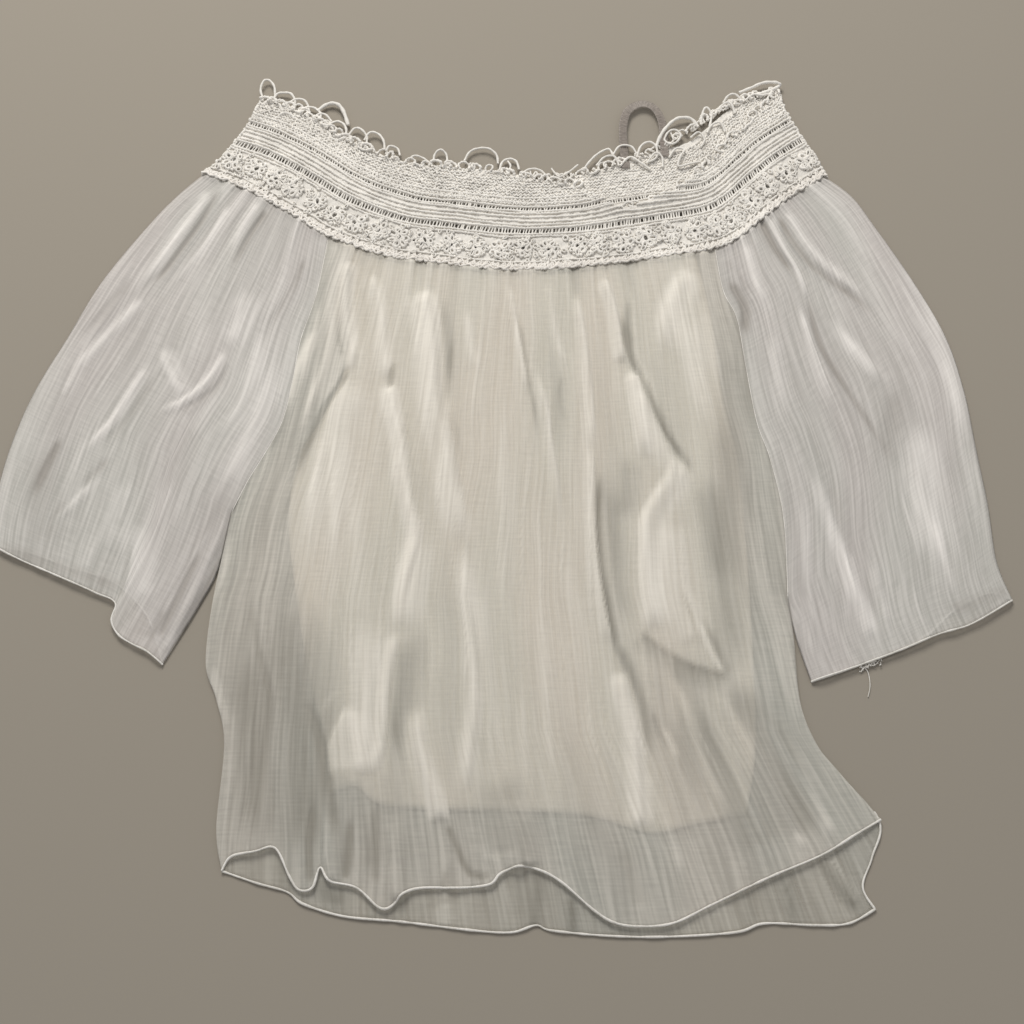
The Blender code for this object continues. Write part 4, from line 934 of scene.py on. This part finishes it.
leftSleeve, leftCuffLine, leftSeamLine = laySleeve(
    "leftSleeveCloth", "sleeve_left", raglanLeft, foldLeft, underarmLeft, cuffLeft, underCuffLeft,
    leftSleeveCreases, 51)
rightSleeve, rightCuffLine, rightSeamLine = laySleeve(
    "rightSleeveCloth", "sleeve_right", raglanRight, foldRight, underarmRight, cuffRight, underCuffRight,
    rightSleeveCreases, 61)
print("sleeves:", [round(meshArea(piece) / 2, 4) for piece in (leftSleeve, rightSleeve)])

# Rolled hems and seams
hemLook = {"radius": 0.72, "uneven": 0.25, "step": 1.4, "bumpEvery": 4, "count": 400, "cornerFrom": 0.84,
           "cuffRadius": 0.62, "seamRadius": 0.28}


def hemCord(name, points, radius, seed):
    # A rolled hem along a cloth's last row, thicker and thinner as it was rolled by hand.
    rng = np.random.default_rng(seed)
    lengths = np.concatenate([[0], np.cumsum(np.linalg.norm(np.diff(points, axis=0), axis=1))])
    count = int(lengths[-1] / hemLook["step"])
    even = np.linspace(0, lengths[-1], count)
    path = np.column_stack([np.interp(even, lengths, points[:, k]) for k in range(3)])
    every = hemLook["bumpEvery"]
    knots = np.arange(0, count + every, every)
    bumps = np.interp(np.arange(count), knots, rng.uniform(-1, 1, len(knots)))
    radii = radius * (1 + hemLook["uneven"] * bumps)
    path[:, 2] = np.maximum(path[:, 2], radii + 0.05)
    cord = layCords(name, [(path, radii)])
    dress(cord, hemThread, "gauze")
    return cord


hemShares = np.linspace(0, 1, hemLook["count"])
cornerShares = np.linspace(hemLook["cornerFrom"], 1.0, 60)
frontHemLine = layFront(hemShares, np.ones_like(hemShares))[0]
backHemLine = layBack(hemShares, np.ones_like(hemShares))[0]
turnedCorner = layBack(np.ones_like(cornerShares), cornerShares)[0]
frontRoll = hemCord("frontHemRoll", frontHemLine, hemLook["radius"], 71)
backRoll = hemCord("backHemRoll", np.vstack([backHemLine, turnedCorner[::-1]]), hemLook["radius"], 72)
leftCuffRoll = hemCord("leftCuffRoll", leftCuffLine, hemLook["cuffRadius"], 73)
rightCuffRoll = hemCord("rightCuffRoll", rightCuffLine, hemLook["cuffRadius"], 74)
leftSeam = hemCord("leftRaglanSeam", leftSeamLine, hemLook["seamRadius"], 75)
rightSeam = hemCord("rightRaglanSeam", rightSeamLine, hemLook["seamRadius"], 76)

# The right cuff's frayed place and the thread that hangs from it
frayLook = {"route": [(225, -139), (230, -138), (236, -136), (241, -134)], "tufts": 26, "points": 5,
            "thread": 0.3, "turn": 1.3, "heights": (0.5, 2.2),
            "loose": [(226, -138, 1.2), (229.7, -140, 0.9), (231.2, -144.6, 0.5), (231.2, -151, 0.4),
                      (229.4, -157.4, 0.35)]}
frayRandom = np.random.default_rng(78)
looseThread = smoothLine(frayLook["loose"], 6)
frayRuns = [(looseThread, np.full(len(looseThread), frayLook["thread"]))]
frayLine = Line(frayLook["route"])
for k in range(frayLook["tufts"]):
    start = frayLine.at(frayRandom.uniform())
    count = frayLook["points"]
    turns = np.cumsum(frayRandom.uniform(-frayLook["turn"], frayLook["turn"], (count, 2)), axis=0)
    heights = frayRandom.uniform(*frayLook["heights"], count)
    frayRuns.append((np.column_stack([start + turns, heights]), np.full(count, frayLook["thread"] * 1.1)))
cuffFray = layCords("rightCuffFray", frayRuns)
dress(cuffFray, hemThread, "gauze")
print("hems and seams")

# Crochet neckband, front and back. Distances are from the band's foot.
laceRows = {"cords": (8, 29.5, 31.5, 37.2, 39.5, 42.6, 46, 49.5, 51, 55, 58, 61.5),
            "ladders": ((32.4, 36.2), (51.9, 54.2)), "netFrom": 4.0, "backNetFrom": 0.5, "netTo": 90.0,
            "blossoms": 18.5}
# The front half's upper edge is rolled over between two places across the top.
rollLook = {"from": 58, "to": 150, "blend": 18, "height": 2.6, "reach": 7.0}
laceLook = {"columns": 400, "rowStep": 1.45, "wall": 0.6, "cord": 0.85, "bead": 0.32, "stitch": 2.6,
            "barPitch": 2.3, "bar": 0.5, "lumps": 0.5, "blossomCount": 27}
bandLeftLine, bandRightLine = Line(bandLeft), Line(bandRight)


class Band:
    # One half of the neckband, read by the share along it and the distance up from its foot.
    def __init__(self, top, low, roll=None):
        self.low = low
        self.topLine = Line(top)
        self.sheet = patch(footLine.at, self.topLine.at, bandLeftLine.at, bandRightLine.at)
        self.length = footLine.length
        self.roll = roll

    def height(self, u):
        return np.linalg.norm(self.topLine.at(u) - footLine.at(u), axis=-1)

    def place(self, u, up, lift=0.0):
        u, up = np.broadcast_arrays(np.asarray(u, float), np.asarray(up, float))
        tall = self.height(u)
        spot = self.sheet(u, np.clip(up / tall, -0.05, 1.0))
        z = self.low + lift + 0 * up
        if self.roll:
            window = (ease((spot[..., 0] - self.roll["from"]) / self.roll["blend"])
                      * ease((self.roll["to"] - spot[..., 0]) / self.roll["blend"]))
            z = z + self.roll["height"] * window * np.exp(-((tall - up) / self.roll["reach"]) ** 2)
        return np.concatenate([spot, z[..., None]], axis=-1)


frontBand = Band(bandFrontTop, layerHeight["lace"], rollLook)
backBand = Band(bandBackTop, layerHeight["backLace"])


def laceNetStrip(name, band, start, stop, seed, holes=()):
    # A crocheted ground between two distances, lumpy, with the blossoms' eyes left open.
    rows = max(3, int((stop - start) / laceLook["rowStep"]))

    def place(u, v):
        up = start + (stop - start) * (1 - v)
        up = np.minimum(up, band.height(u))
        lumps = grainNoise(u * band.length, up, 2.6, 2.2, seed) * laceLook["lumps"]
        points = band.place(u, up, lumps)
        points[:, 2] = np.maximum(points[:, 2], laceLook["wall"] / 2 + 0.02)
        return points, np.zeros(len(u)), np.stack([u * band.length, up], axis=-1)

    strip = layGrid(name, laceLook["columns"], rows, place, 0.0, weld=True)
    mesh = strip.data
    centres = np.zeros(len(mesh.polygons) * 3)
    mesh.polygons.foreach_get("center", centres)
    centres = centres.reshape(-1, 3)[:, :2] / millimetre
    cutOut = np.zeros(len(centres), bool)
    for x, y, radius in holes:
        cutOut |= np.hypot(centres[:, 0] - x, centres[:, 1] - y) < radius
    if cutOut.any():
        bpy.ops.object.mode_set(mode="EDIT")
        bpy.ops.mesh.select_mode(type="FACE")
        bpy.ops.mesh.select_all(action="DESELECT")
        bpy.ops.object.mode_set(mode="OBJECT")
        mesh.polygons.foreach_set("select", cutOut)
        bpy.ops.object.mode_set(mode="EDIT")
        bpy.ops.mesh.delete(type="FACE")
        bpy.ops.object.mode_set(mode="OBJECT")
    thicken(strip, laceLook["wall"], inside=0)
    return strip


def beadedRow(band, up, radius, lift, seed, wobble=0.25, step=1.15):
    # One crochet row: a thread that swells at each stitch. It stops where the band is too low for it.
    rng = np.random.default_rng(seed)
    count = int(band.length / step)
    u = np.linspace(0, 1, count)
    keep = band.height(u) > up - 0.5
    drift = grainNoise(u * band.length, np.full(count, up), 17.0, 3.0, seed) * 0.7
    points = band.place(u, up + drift + rng.uniform(-wobble, wobble, count), lift)
    points[:, 2] += rng.uniform(-0.15, 0.15, count)
    radii = radius * (1 + laceLook["bead"] * np.cos(2 * np.pi * u * band.length / laceLook["stitch"])
                      + rng.uniform(-0.12, 0.12, count))
    return keptRuns(points, radii, keep)


def keptRuns(points, radii, keep):
    # The stretches of a cord where the band is tall enough for it.
    edges = np.flatnonzero(np.diff(np.concatenate([[0], keep.astype(int), [0]])))
    return [(points[a:b], radii[a:b]) for a, b in zip(edges[::2], edges[1::2]) if b - a > 3]


def ladderBars(band, low, high, seed):
    rng = np.random.default_rng(seed)
    count = int(band.length / laceLook["barPitch"])
    runs = []
    for k in range(count):
        u = (k + 0.5 + rng.uniform(-0.25, 0.25)) / count
        lean = rng.uniform(-0.4, 0.4) / band.length
        if band.height(np.array([u]))[0] < high:
            continue
        us = np.clip(np.array([u - lean, u, u + lean]), 0, 1)
        points = band.place(us, np.array([low - 0.8, (low + high) / 2, high + 0.8]), 0.1)
        radius = laceLook["bar"] * rng.uniform(0.75, 1.25)
        runs.append((points, [radius * 1.3, radius, radius * 1.3]))
    return runs


def blossomSpots(band, count):
    rng = random.Random(5)
    spots = []
    for k in range(count):
        u = (k + 0.5) / count + rng.uniform(-0.004, 0.004)
        point = band.place(np.array([u]), np.array([laceRows["blossoms"] + rng.uniform(-1.2, 1.2)]))[0]
        spots.append((u, point))
    return spots


blossomLook = {"eye": 2.0, "eyeThread": 0.85, "petals": 7, "petalAt": 4.9, "petal": 1.7,
               "petalThread": 0.85, "knotAt": 7.0, "knot": 1.15, "petalScale": (1.3, 0.95, 1.1),
               "knotScale": (1.3, 1.0, 0.7), "petalTilt": 0.2, "petalLift": 0.3, "uneven": 0.15,
               "pull": 1.3, "pullPitch": 3.4, "wide": (0.92, 1.08), "tall": (1.0, 1.18), "thick": 1.15,
               "turn": 0.2, "ahead": 0.01}


def makeBlossom():
    # One crochet blossom at the origin: an eye, petals looped round it, and knots between their tips.
    parts = []

    def keep():
        bpy.ops.object.transform_apply(location=True, rotation=True, scale=True)
        parts.append(bpy.context.object)

    bpy.ops.object.select_all(action="DESELECT")
    bpy.ops.mesh.primitive_torus_add(major_radius=blossomLook["eye"] * millimetre,
                                     minor_radius=blossomLook["eyeThread"] * millimetre,
                                     major_segments=14, minor_segments=6)
    keep()
    lift = blossomLook["petalLift"] * millimetre
    for k in range(blossomLook["petals"]):
        turn = 2 * math.pi * k / blossomLook["petals"]
        reach = blossomLook["petalAt"] * millimetre
        bpy.ops.mesh.primitive_torus_add(
            location=(reach * math.cos(turn), reach * math.sin(turn), lift * (k % 2)),
            rotation=(blossomLook["petalTilt"] * (-1) ** k, 0.0, turn),
            major_radius=blossomLook["petal"] * millimetre,
            minor_radius=blossomLook["petalThread"] * millimetre, major_segments=10, minor_segments=5)
        bpy.context.object.scale = blossomLook["petalScale"]
        keep()
        turn += math.pi / blossomLook["petals"]
        reach = blossomLook["knotAt"] * millimetre
        bpy.ops.mesh.primitive_ico_sphere_add(
            subdivisions=1, radius=blossomLook["knot"] * millimetre,
            location=(reach * math.cos(turn), reach * math.sin(turn), 0.0))
        bpy.context.object.scale = blossomLook["knotScale"]
        keep()
    return joinPieces(parts)


def blossomRow(name, band, count, lift, seed):
    # The one blossom copied along its row, each turned, stretched and pulled a little on its own.
    look = blossomLook
    motif = makeBlossom()
    rng = np.random.default_rng(seed)
    base = np.zeros(len(motif.data.vertices) * 3)
    motif.data.vertices.foreach_get("co", base)
    base = base.reshape(-1, 3) / millimetre
    copies = []
    for u, point in blossomSpots(band, count):
        copy = motif.copy()
        copy.data = motif.data.copy()
        bpy.context.scene.collection.objects.link(copy)
        ends = np.array([max(u - look["ahead"], 0), min(u + look["ahead"], 1)])
        behind, ahead = band.place(ends, laceRows["blossoms"])
        along = ahead - behind
        turn = math.atan2(along[1], along[0]) + rng.uniform(-look["turn"], look["turn"])
        wide, tall = rng.uniform(*look["wide"]), rng.uniform(*look["tall"])
        pull = [grainNoise(base[:, 0] + 40 * k, base[:, 1] + 90, look["pullPitch"], look["pullPitch"],
                           len(copies) * 2 + seed) * look["pull"] for k in (0, 1)]
        x = base[:, 0] * wide + pull[0] + rng.normal(0, look["uneven"], len(base))
        y = base[:, 1] * tall + pull[1] + rng.normal(0, look["uneven"], len(base))
        z = base[:, 2] * look["thick"] + lift + point[2]
        spot = np.column_stack([point[0] + x * math.cos(turn) - y * math.sin(turn),
                                point[1] + x * math.sin(turn) + y * math.cos(turn), z])
        copy.data.vertices.foreach_set("co", (spot * millimetre).ravel())
        copies.append(copy)
    bpy.data.objects.remove(motif)
    row = joinPieces(copies)
    row.name = row.data.name = name
    bpy.ops.object.shade_smooth()
    return row


def zigzag(band, low, high, pitch, radius, lift, seed, jitter=0.6, steps=4):
    # A row of stitches that goes to and fro between two distances, uneven in place and height.
    rng = np.random.default_rng(seed)
    count = int(band.length / pitch) * 2
    u = np.clip((np.arange(count + 1) + rng.uniform(-0.3, 0.3, count + 1)) / count, 0, 1)
    up = np.where(np.arange(count + 1) % 2 == 0, low, high) + rng.uniform(-jitter, jitter, count + 1)
    points = band.place(u, up, lift)
    points[:, 2] += rng.uniform(-0.4, 0.4, count + 1)
    runs = keptRuns(points, u, band.height(u) > high - 0.3)
    return [(rounded, radius * (1 + 0.25 * np.cos(np.arange(len(rounded)) * 1.3)))
            for rounded in (smoothLine(part, steps) for part, _ in runs)]


def smallLoops(band, low, high, count, lift, seed):
    # Loose little rings of thread that fill a row, each turned its own way.
    rng = np.random.default_rng(seed)
    turns = np.linspace(0, 2 * np.pi, 8)
    runs = []
    for k in range(count):
        centre = band.place(np.array([rng.uniform(0.003, 0.997)]), np.array([rng.uniform(low, high)]))[0]
        wide, tall, spin = rng.uniform(0.9, 2.1), rng.uniform(0.8, 1.8), rng.uniform(0, np.pi)
        x, y = wide * np.cos(turns), tall * np.sin(turns)
        ring = np.column_stack([centre[0] + x * np.cos(spin) - y * np.sin(spin),
                                centre[1] + x * np.sin(spin) + y * np.cos(spin),
                                centre[2] + lift + rng.uniform(-0.3, 0.7) + 0.4 * np.cos(turns + spin)])
        runs.append((ring, np.full(8, rng.uniform(0.5, 0.85))))
    return runs


# Holes of the blossoms' ground: one in the middle of each and a few small ones round it
eyeLook = {"middle": 1.9, "small": 1.0, "smallCount": 3, "away": (4.0, 7.5)}
eyes = []
eyeRandom = random.Random(9)
for u, point in blossomSpots(frontBand, laceLook["blossomCount"]):
    eyes.append((point[0], point[1], eyeLook["middle"]))
    for k in range(eyeLook["smallCount"]):
        turn = eyeRandom.uniform(0, 2 * math.pi)
        away = eyeRandom.uniform(*eyeLook["away"])
        eyes.append((point[0] + away * math.cos(turn), point[1] + away * math.sin(turn), eyeLook["small"]))

lowLadder, highLadder = laceRows["ladders"]
frontNets = [laceNetStrip("frontLaceBlossomGround", frontBand, laceRows["netFrom"], lowLadder[0], 81, eyes),
             laceNetStrip("frontLaceMiddleGround", frontBand, lowLadder[1], highLadder[0], 82),
             laceNetStrip("frontLaceTopGround", frontBand, highLadder[1], laceRows["netTo"], 83)]
backNets = [laceNetStrip("backLaceLowGround", backBand, laceRows["backNetFrom"], lowLadder[0], 84),
            laceNetStrip("backLaceMiddleGround", backBand, lowLadder[1], highLadder[0], 85),
            laceNetStrip("backLaceTopGround", backBand, highLadder[1], laceRows["netTo"], 86)]
# The grounds take the lace thread in painted shade.
for strip in frontNets + backNets:
    dress(strip, shadedLaceNet, "lace")
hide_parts("band_front")
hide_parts("band_back")


def laceCords(name, runs, *nodes, finish=laceThread, sides=1):
    cords = layCords(name, runs, sides)
    dress(cords, finish, "lace", *nodes)
    return cords


cordRuns, backRuns = [], []
for k, up in enumerate(laceRows["cords"]):
    cordRuns += beadedRow(frontBand, up, laceLook["cord"], 0.75, 90 + k)
    backRuns += beadedRow(backBand, up, laceLook["cord"] * 0.8, 0.45, 110 + k, step=1.6)
for low, high in laceRows["ladders"]:
    cordRuns += ladderBars(frontBand, low, high, 130)
    backRuns += ladderBars(backBand, low, high, 131)
frontRows = laceCords("frontLaceRows", cordRuns)
backRows = laceCords("backLaceRows", backRuns, sides=0)
blossoms = blossomRow("frontBlossoms", frontBand, laceLook["blossomCount"], 1.0, 140)
dress(blossoms, laceThread, "lace")

# Crochet between the rows: stitches over the top, loose rings among the blossoms, lumps down the sides
stitchLook = {"rowPitch": 2.3, "stitch": 2.9, "thread": 0.8, "from": 57.0, "to": 86.0, "rings": 400,
              "ringsBetween": (5.5, 29.0), "sideLumps": 60}


def topStitches(band, seed, lift):
    runs = []
    for k, up in enumerate(np.arange(stitchLook["from"], stitchLook["to"], stitchLook["rowPitch"])):
        runs += zigzag(band, up - 0.7, up + 1.1, stitchLook["stitch"], stitchLook["thread"], lift,
                       seed + k, jitter=0.5, steps=2)
    return runs


def sideLumps(seed):
    rng = np.random.default_rng(seed)
    runs = []
    for line in (bandLeftLine, bandRightLine):
        share = np.linspace(0, 1, stitchLook["sideLumps"])
        for low in (0.9, 2.4):
            spots = line.at(share) + rng.uniform(-0.9, 0.9, (len(share), 2))
            rise = low + rng.uniform(0, 0.9, len(share))
            path = smoothLine(np.column_stack([spots, rise]), 3)
            runs.append((path, 0.95 * (1 + 0.25 * np.cos(np.arange(len(path)) * 1.1))))
    return runs


laceCords("frontLaceTopStitches", topStitches(frontBand, 200, 0.75), sides=0)
laceCords("backLaceTopStitches", topStitches(backBand, 230, 0.5), sides=0)
laceCords("frontLaceRings",
          smallLoops(frontBand, *stitchLook["ringsBetween"], stitchLook["rings"], 1.1, 260), sides=0)
sides = laceCords("laceSideLumps", sideLumps(270))

# Rows of the band's foot: from, to, stitch, thread's radius and how far above the band
footRows = [(-1.5, 4.5, 5.5, 0.85, 2.2), (0.5, 6.0, 4.2, 0.8, 1.8), (-0.5, 2.0, 7.5, 0.75, 2.5)]
footRuns = []
for k, footRow in enumerate(footRows):
    footRuns += zigzag(frontBand, *footRow, 150 + k)
footRuns += beadedRow(frontBand, 2.8, 0.8, 2.2, 153, wobble=0.8)
laceCords("frontLaceFoot", footRuns, finish=footThread)
print("lace bands")

# Loops of thread along the tops of the bands
loopLook = {"pitch": 6.0, "reach": (1.6, 4.6), "half": (2.0, 4.2), "lean": 2.0, "thread": 0.85,
            "turnedBack": 0.22,
            "shape": [(-0.7, -0.35), (-1.0, 0.25), (-0.75, 0.8), (0.0, 1.05), (0.8, 0.75), (1.0, 0.2),
                      (0.6, -0.35)]}
# Loops that stand out, each with its thread's radius
frontFreeLoops = [
    ([(-171, 289), (-173, 296), (-171, 303), (-167, 304), (-163, 298), (-162, 289)], 0.9),
    ([(-164, 284), (-161, 292), (-155, 293), (-150, 291), (-147, 284), (-152, 278)], 0.95),
    ([(-154, 279), (-149, 286), (-141, 286), (-137, 279), (-140, 271)], 0.9),
    ([(-171, 280), (-166, 286), (-158, 282), (-155, 273)], 0.9),
    ([(-145, 272), (-142, 279), (-134, 280), (-128, 274), (-131, 265)], 0.95),
    ([(-134, 265), (-131, 273), (-125, 274), (-120, 268)], 0.9),
    ([(-161, 270), (-154, 275), (-145, 270), (-137, 263)], 1.0),
    ([(-131, 277), (-124, 283), (-117, 283), (-112, 277), (-108, 265)], 1.45),
    ([(-121, 259), (-121, 265), (-116, 268), (-111, 265), (-109, 259), (-111, 253), (-116, 252),
      (-120, 254), (-121, 259)], 0.95),
    ([(-107, 257), (-103, 262), (-98, 260), (-94, 254), (-95, 246)], 0.9),
    ([(-96, 252), (-92, 258), (-86, 257), (-82, 251), (-81, 244)], 0.9),
    ([(-80, 240), (-78, 246), (-72, 245), (-70, 239)], 0.85),
    ([(-64, 234), (-60, 238), (-54, 237), (-49, 233)], 0.85),
    ([(-46, 233), (-45, 240), (-41, 243), (-37, 240), (-36, 233)], 0.85),
    ([(-24, 234), (-20, 242), (-13, 245), (-6, 244), (-1, 239), (0, 232)], 0.9),
    ([(1, 225), (3, 233), (8, 236), (13, 234), (15, 227)], 0.9),
    ([(7, 234), (9, 229), (6, 223)], 0.7),
    ([(15, 219), (19, 225), (25, 227), (31, 225), (36, 219)], 0.85),
    ([(23, 226), (24, 220), (27, 225), (29, 219)], 0.7),
    ([(38, 228), (41, 223), (44, 220), (50, 224), (57, 231)], 0.7),
    ([(34, 215), (41, 220), (48, 218), (54, 223)], 0.8),
]
backFreeLoops = [
    ([(61, 227), (66, 234), (72, 240), (79, 244), (82, 239)], 0.85),
    ([(70, 230), (76, 237), (83, 237), (86, 230)], 0.8),
    ([(82, 239), (87, 246), (95, 246), (99, 240)], 0.8),
    ([(99, 237), (102, 246), (108, 250), (113, 246), (113, 237), (107, 233)], 0.85),
    ([(106, 232), (112, 240), (117, 237), (117, 229)], 0.8),
    ([(113, 246), (117, 256), (123, 265), (130, 270), (139, 270), (144, 263)], 1.3),
    ([(119, 252), (122, 258), (127, 260), (131, 256), (128, 250), (123, 248), (119, 252)], 0.8),
    ([(124, 258), (126, 252), (129, 254)], 0.6),
    ([(122, 237), (127, 244), (133, 243), (130, 237), (128, 229), (136, 231), (142, 233)], 0.85),
    ([(138, 254), (144, 258), (148, 252), (145, 246)], 0.8),
    ([(146, 265), (148, 276), (151, 279), (154, 273), (152, 263)], 0.85),
    ([(150, 258), (154, 265), (160, 266), (163, 259)], 0.85),
    ([(156, 273), (162, 282), (168, 283), (171, 275)], 0.9),
    ([(163, 284), (167, 290), (172, 291), (177, 286)], 0.9),
    ([(175, 293), (184, 297), (193, 301), (202, 301), (205, 299), (197, 294), (187, 291)], 1.25),
    ([(179, 286), (185, 291), (192, 290), (198, 293)], 0.9),
    ([(87, 230), (94, 237), (101, 232), (108, 227)], 0.9),
]


def edgeLoops(band, fromX, toX, seed, lift):
    # Uneven loops that start and end on the band's edge, some leaning, some lying back over it.
    rng = np.random.default_rng(seed)
    first, last = band.topLine.shareAtX(fromX), band.topLine.shareAtX(toX)
    runs = []
    count = int((last - first) * band.topLine.length / loopLook["pitch"])
    for k in range(count):
        share = first + (last - first) * (k + 0.5 + rng.uniform(-0.3, 0.3)) / count
        half = rng.uniform(*loopLook["half"])
        a, b = (band.topLine.at(share + sign * half / band.topLine.length) for sign in (-1, 1))
        along = (b - a) / max(np.linalg.norm(b - a), 1e-6)
        up = np.array([-along[1], along[0]])
        reach = rng.uniform(*loopLook["reach"]) * (1 if rng.random() > loopLook["turnedBack"] else -0.6)
        lean = rng.uniform(-loopLook["lean"], loopLook["lean"])
        middle = (a + b) / 2
        points = []
        for sideways, above in loopLook["shape"]:
            spot = middle + along * (sideways * half + lean * above) + up * (above * reach)
            points.append((*spot, band.low + lift + rng.uniform(-0.6, 1.6)))
        line = smoothLine(points, 4)
        radii = loopLook["thread"] * (1 + 0.25 * np.cos(np.arange(len(line)) * 1.9)) * rng.uniform(0.8, 1.3)
        runs.append((line, radii))
    return runs


def freeLoops(loops, height, seed):
    rng = np.random.default_rng(seed)
    runs = []
    for route, radius in loops:
        arch = np.sin(np.linspace(0.2, np.pi - 0.2, len(route)))
        rise = height + rng.uniform(0.2, 1.8, len(route)) * arch
        line = smoothLine(np.column_stack([np.array(route, float), rise]), 5)
        runs.append((line, radius * (1 + 0.14 * np.cos(np.arange(len(line)) * 1.7))))
    return runs


# Runs of loops along an edge: from and to across the top, the seed, and how far above the band
edgeRuns = {"front": [(-171, 60, 160, 0.9), (-172, -90, 161, 1.4), (88, 203, 165, 0.9)],
            "back": [(-168, 60, 162, 0.6), (58, 202, 163, 1.2), (140, 203, 164, 1.6)]}


def picots(name, node, band, edges, loops, height, seed):
    runs = []
    for edge in edges:
        runs += edgeLoops(band, *edge)
    return laceCords(name, runs + freeLoops(loops, height, seed), node)


frontPicots = picots("frontPicots", "picots_front", frontBand, edgeRuns["front"], frontFreeLoops,
                     layerHeight["lace"], 166)
backPicots = picots("backPicots", "picots_back", backBand, edgeRuns["back"], backFreeLoops,
                    layerHeight["backLace"] + 2.2, 167)
print("loops")

# Hanger ribbon
ribbonPiece = {"width": 6.0, "wall": 0.35, "columns": 8, "rows": 90, "gap": 0.3, "hump": 0.8, "twist": 1.6}


def layRibbon(u, v):
    line = Line(loopRoute)
    spot, ahead, behind = line.at(v), line.at(v + 0.01), line.at(v - 0.01)
    along = ahead - behind
    along = along / np.linalg.norm(along, axis=-1)[:, None]
    across = np.stack([-along[:, 1], along[:, 0]], axis=-1)
    place = spot + across * ((u - 0.5) * ribbonPiece["width"])[:, None]
    twist = (u - 0.5) * ribbonPiece["twist"] * np.sin(2 * np.pi * v)
    z = layerHeight["lace"] + ribbonPiece["gap"] + ribbonPiece["hump"] * np.sin(np.pi * v) + twist
    grain = np.stack([u * ribbonPiece["width"], v * line.length], axis=-1)
    return np.column_stack([place, z]), np.zeros(len(u)), grain


ribbon = layPanel("hangerRibbon", ribbonPiece, layRibbon)
dress(ribbon, sheerRibbon, "ribbon", "hanger_loop")
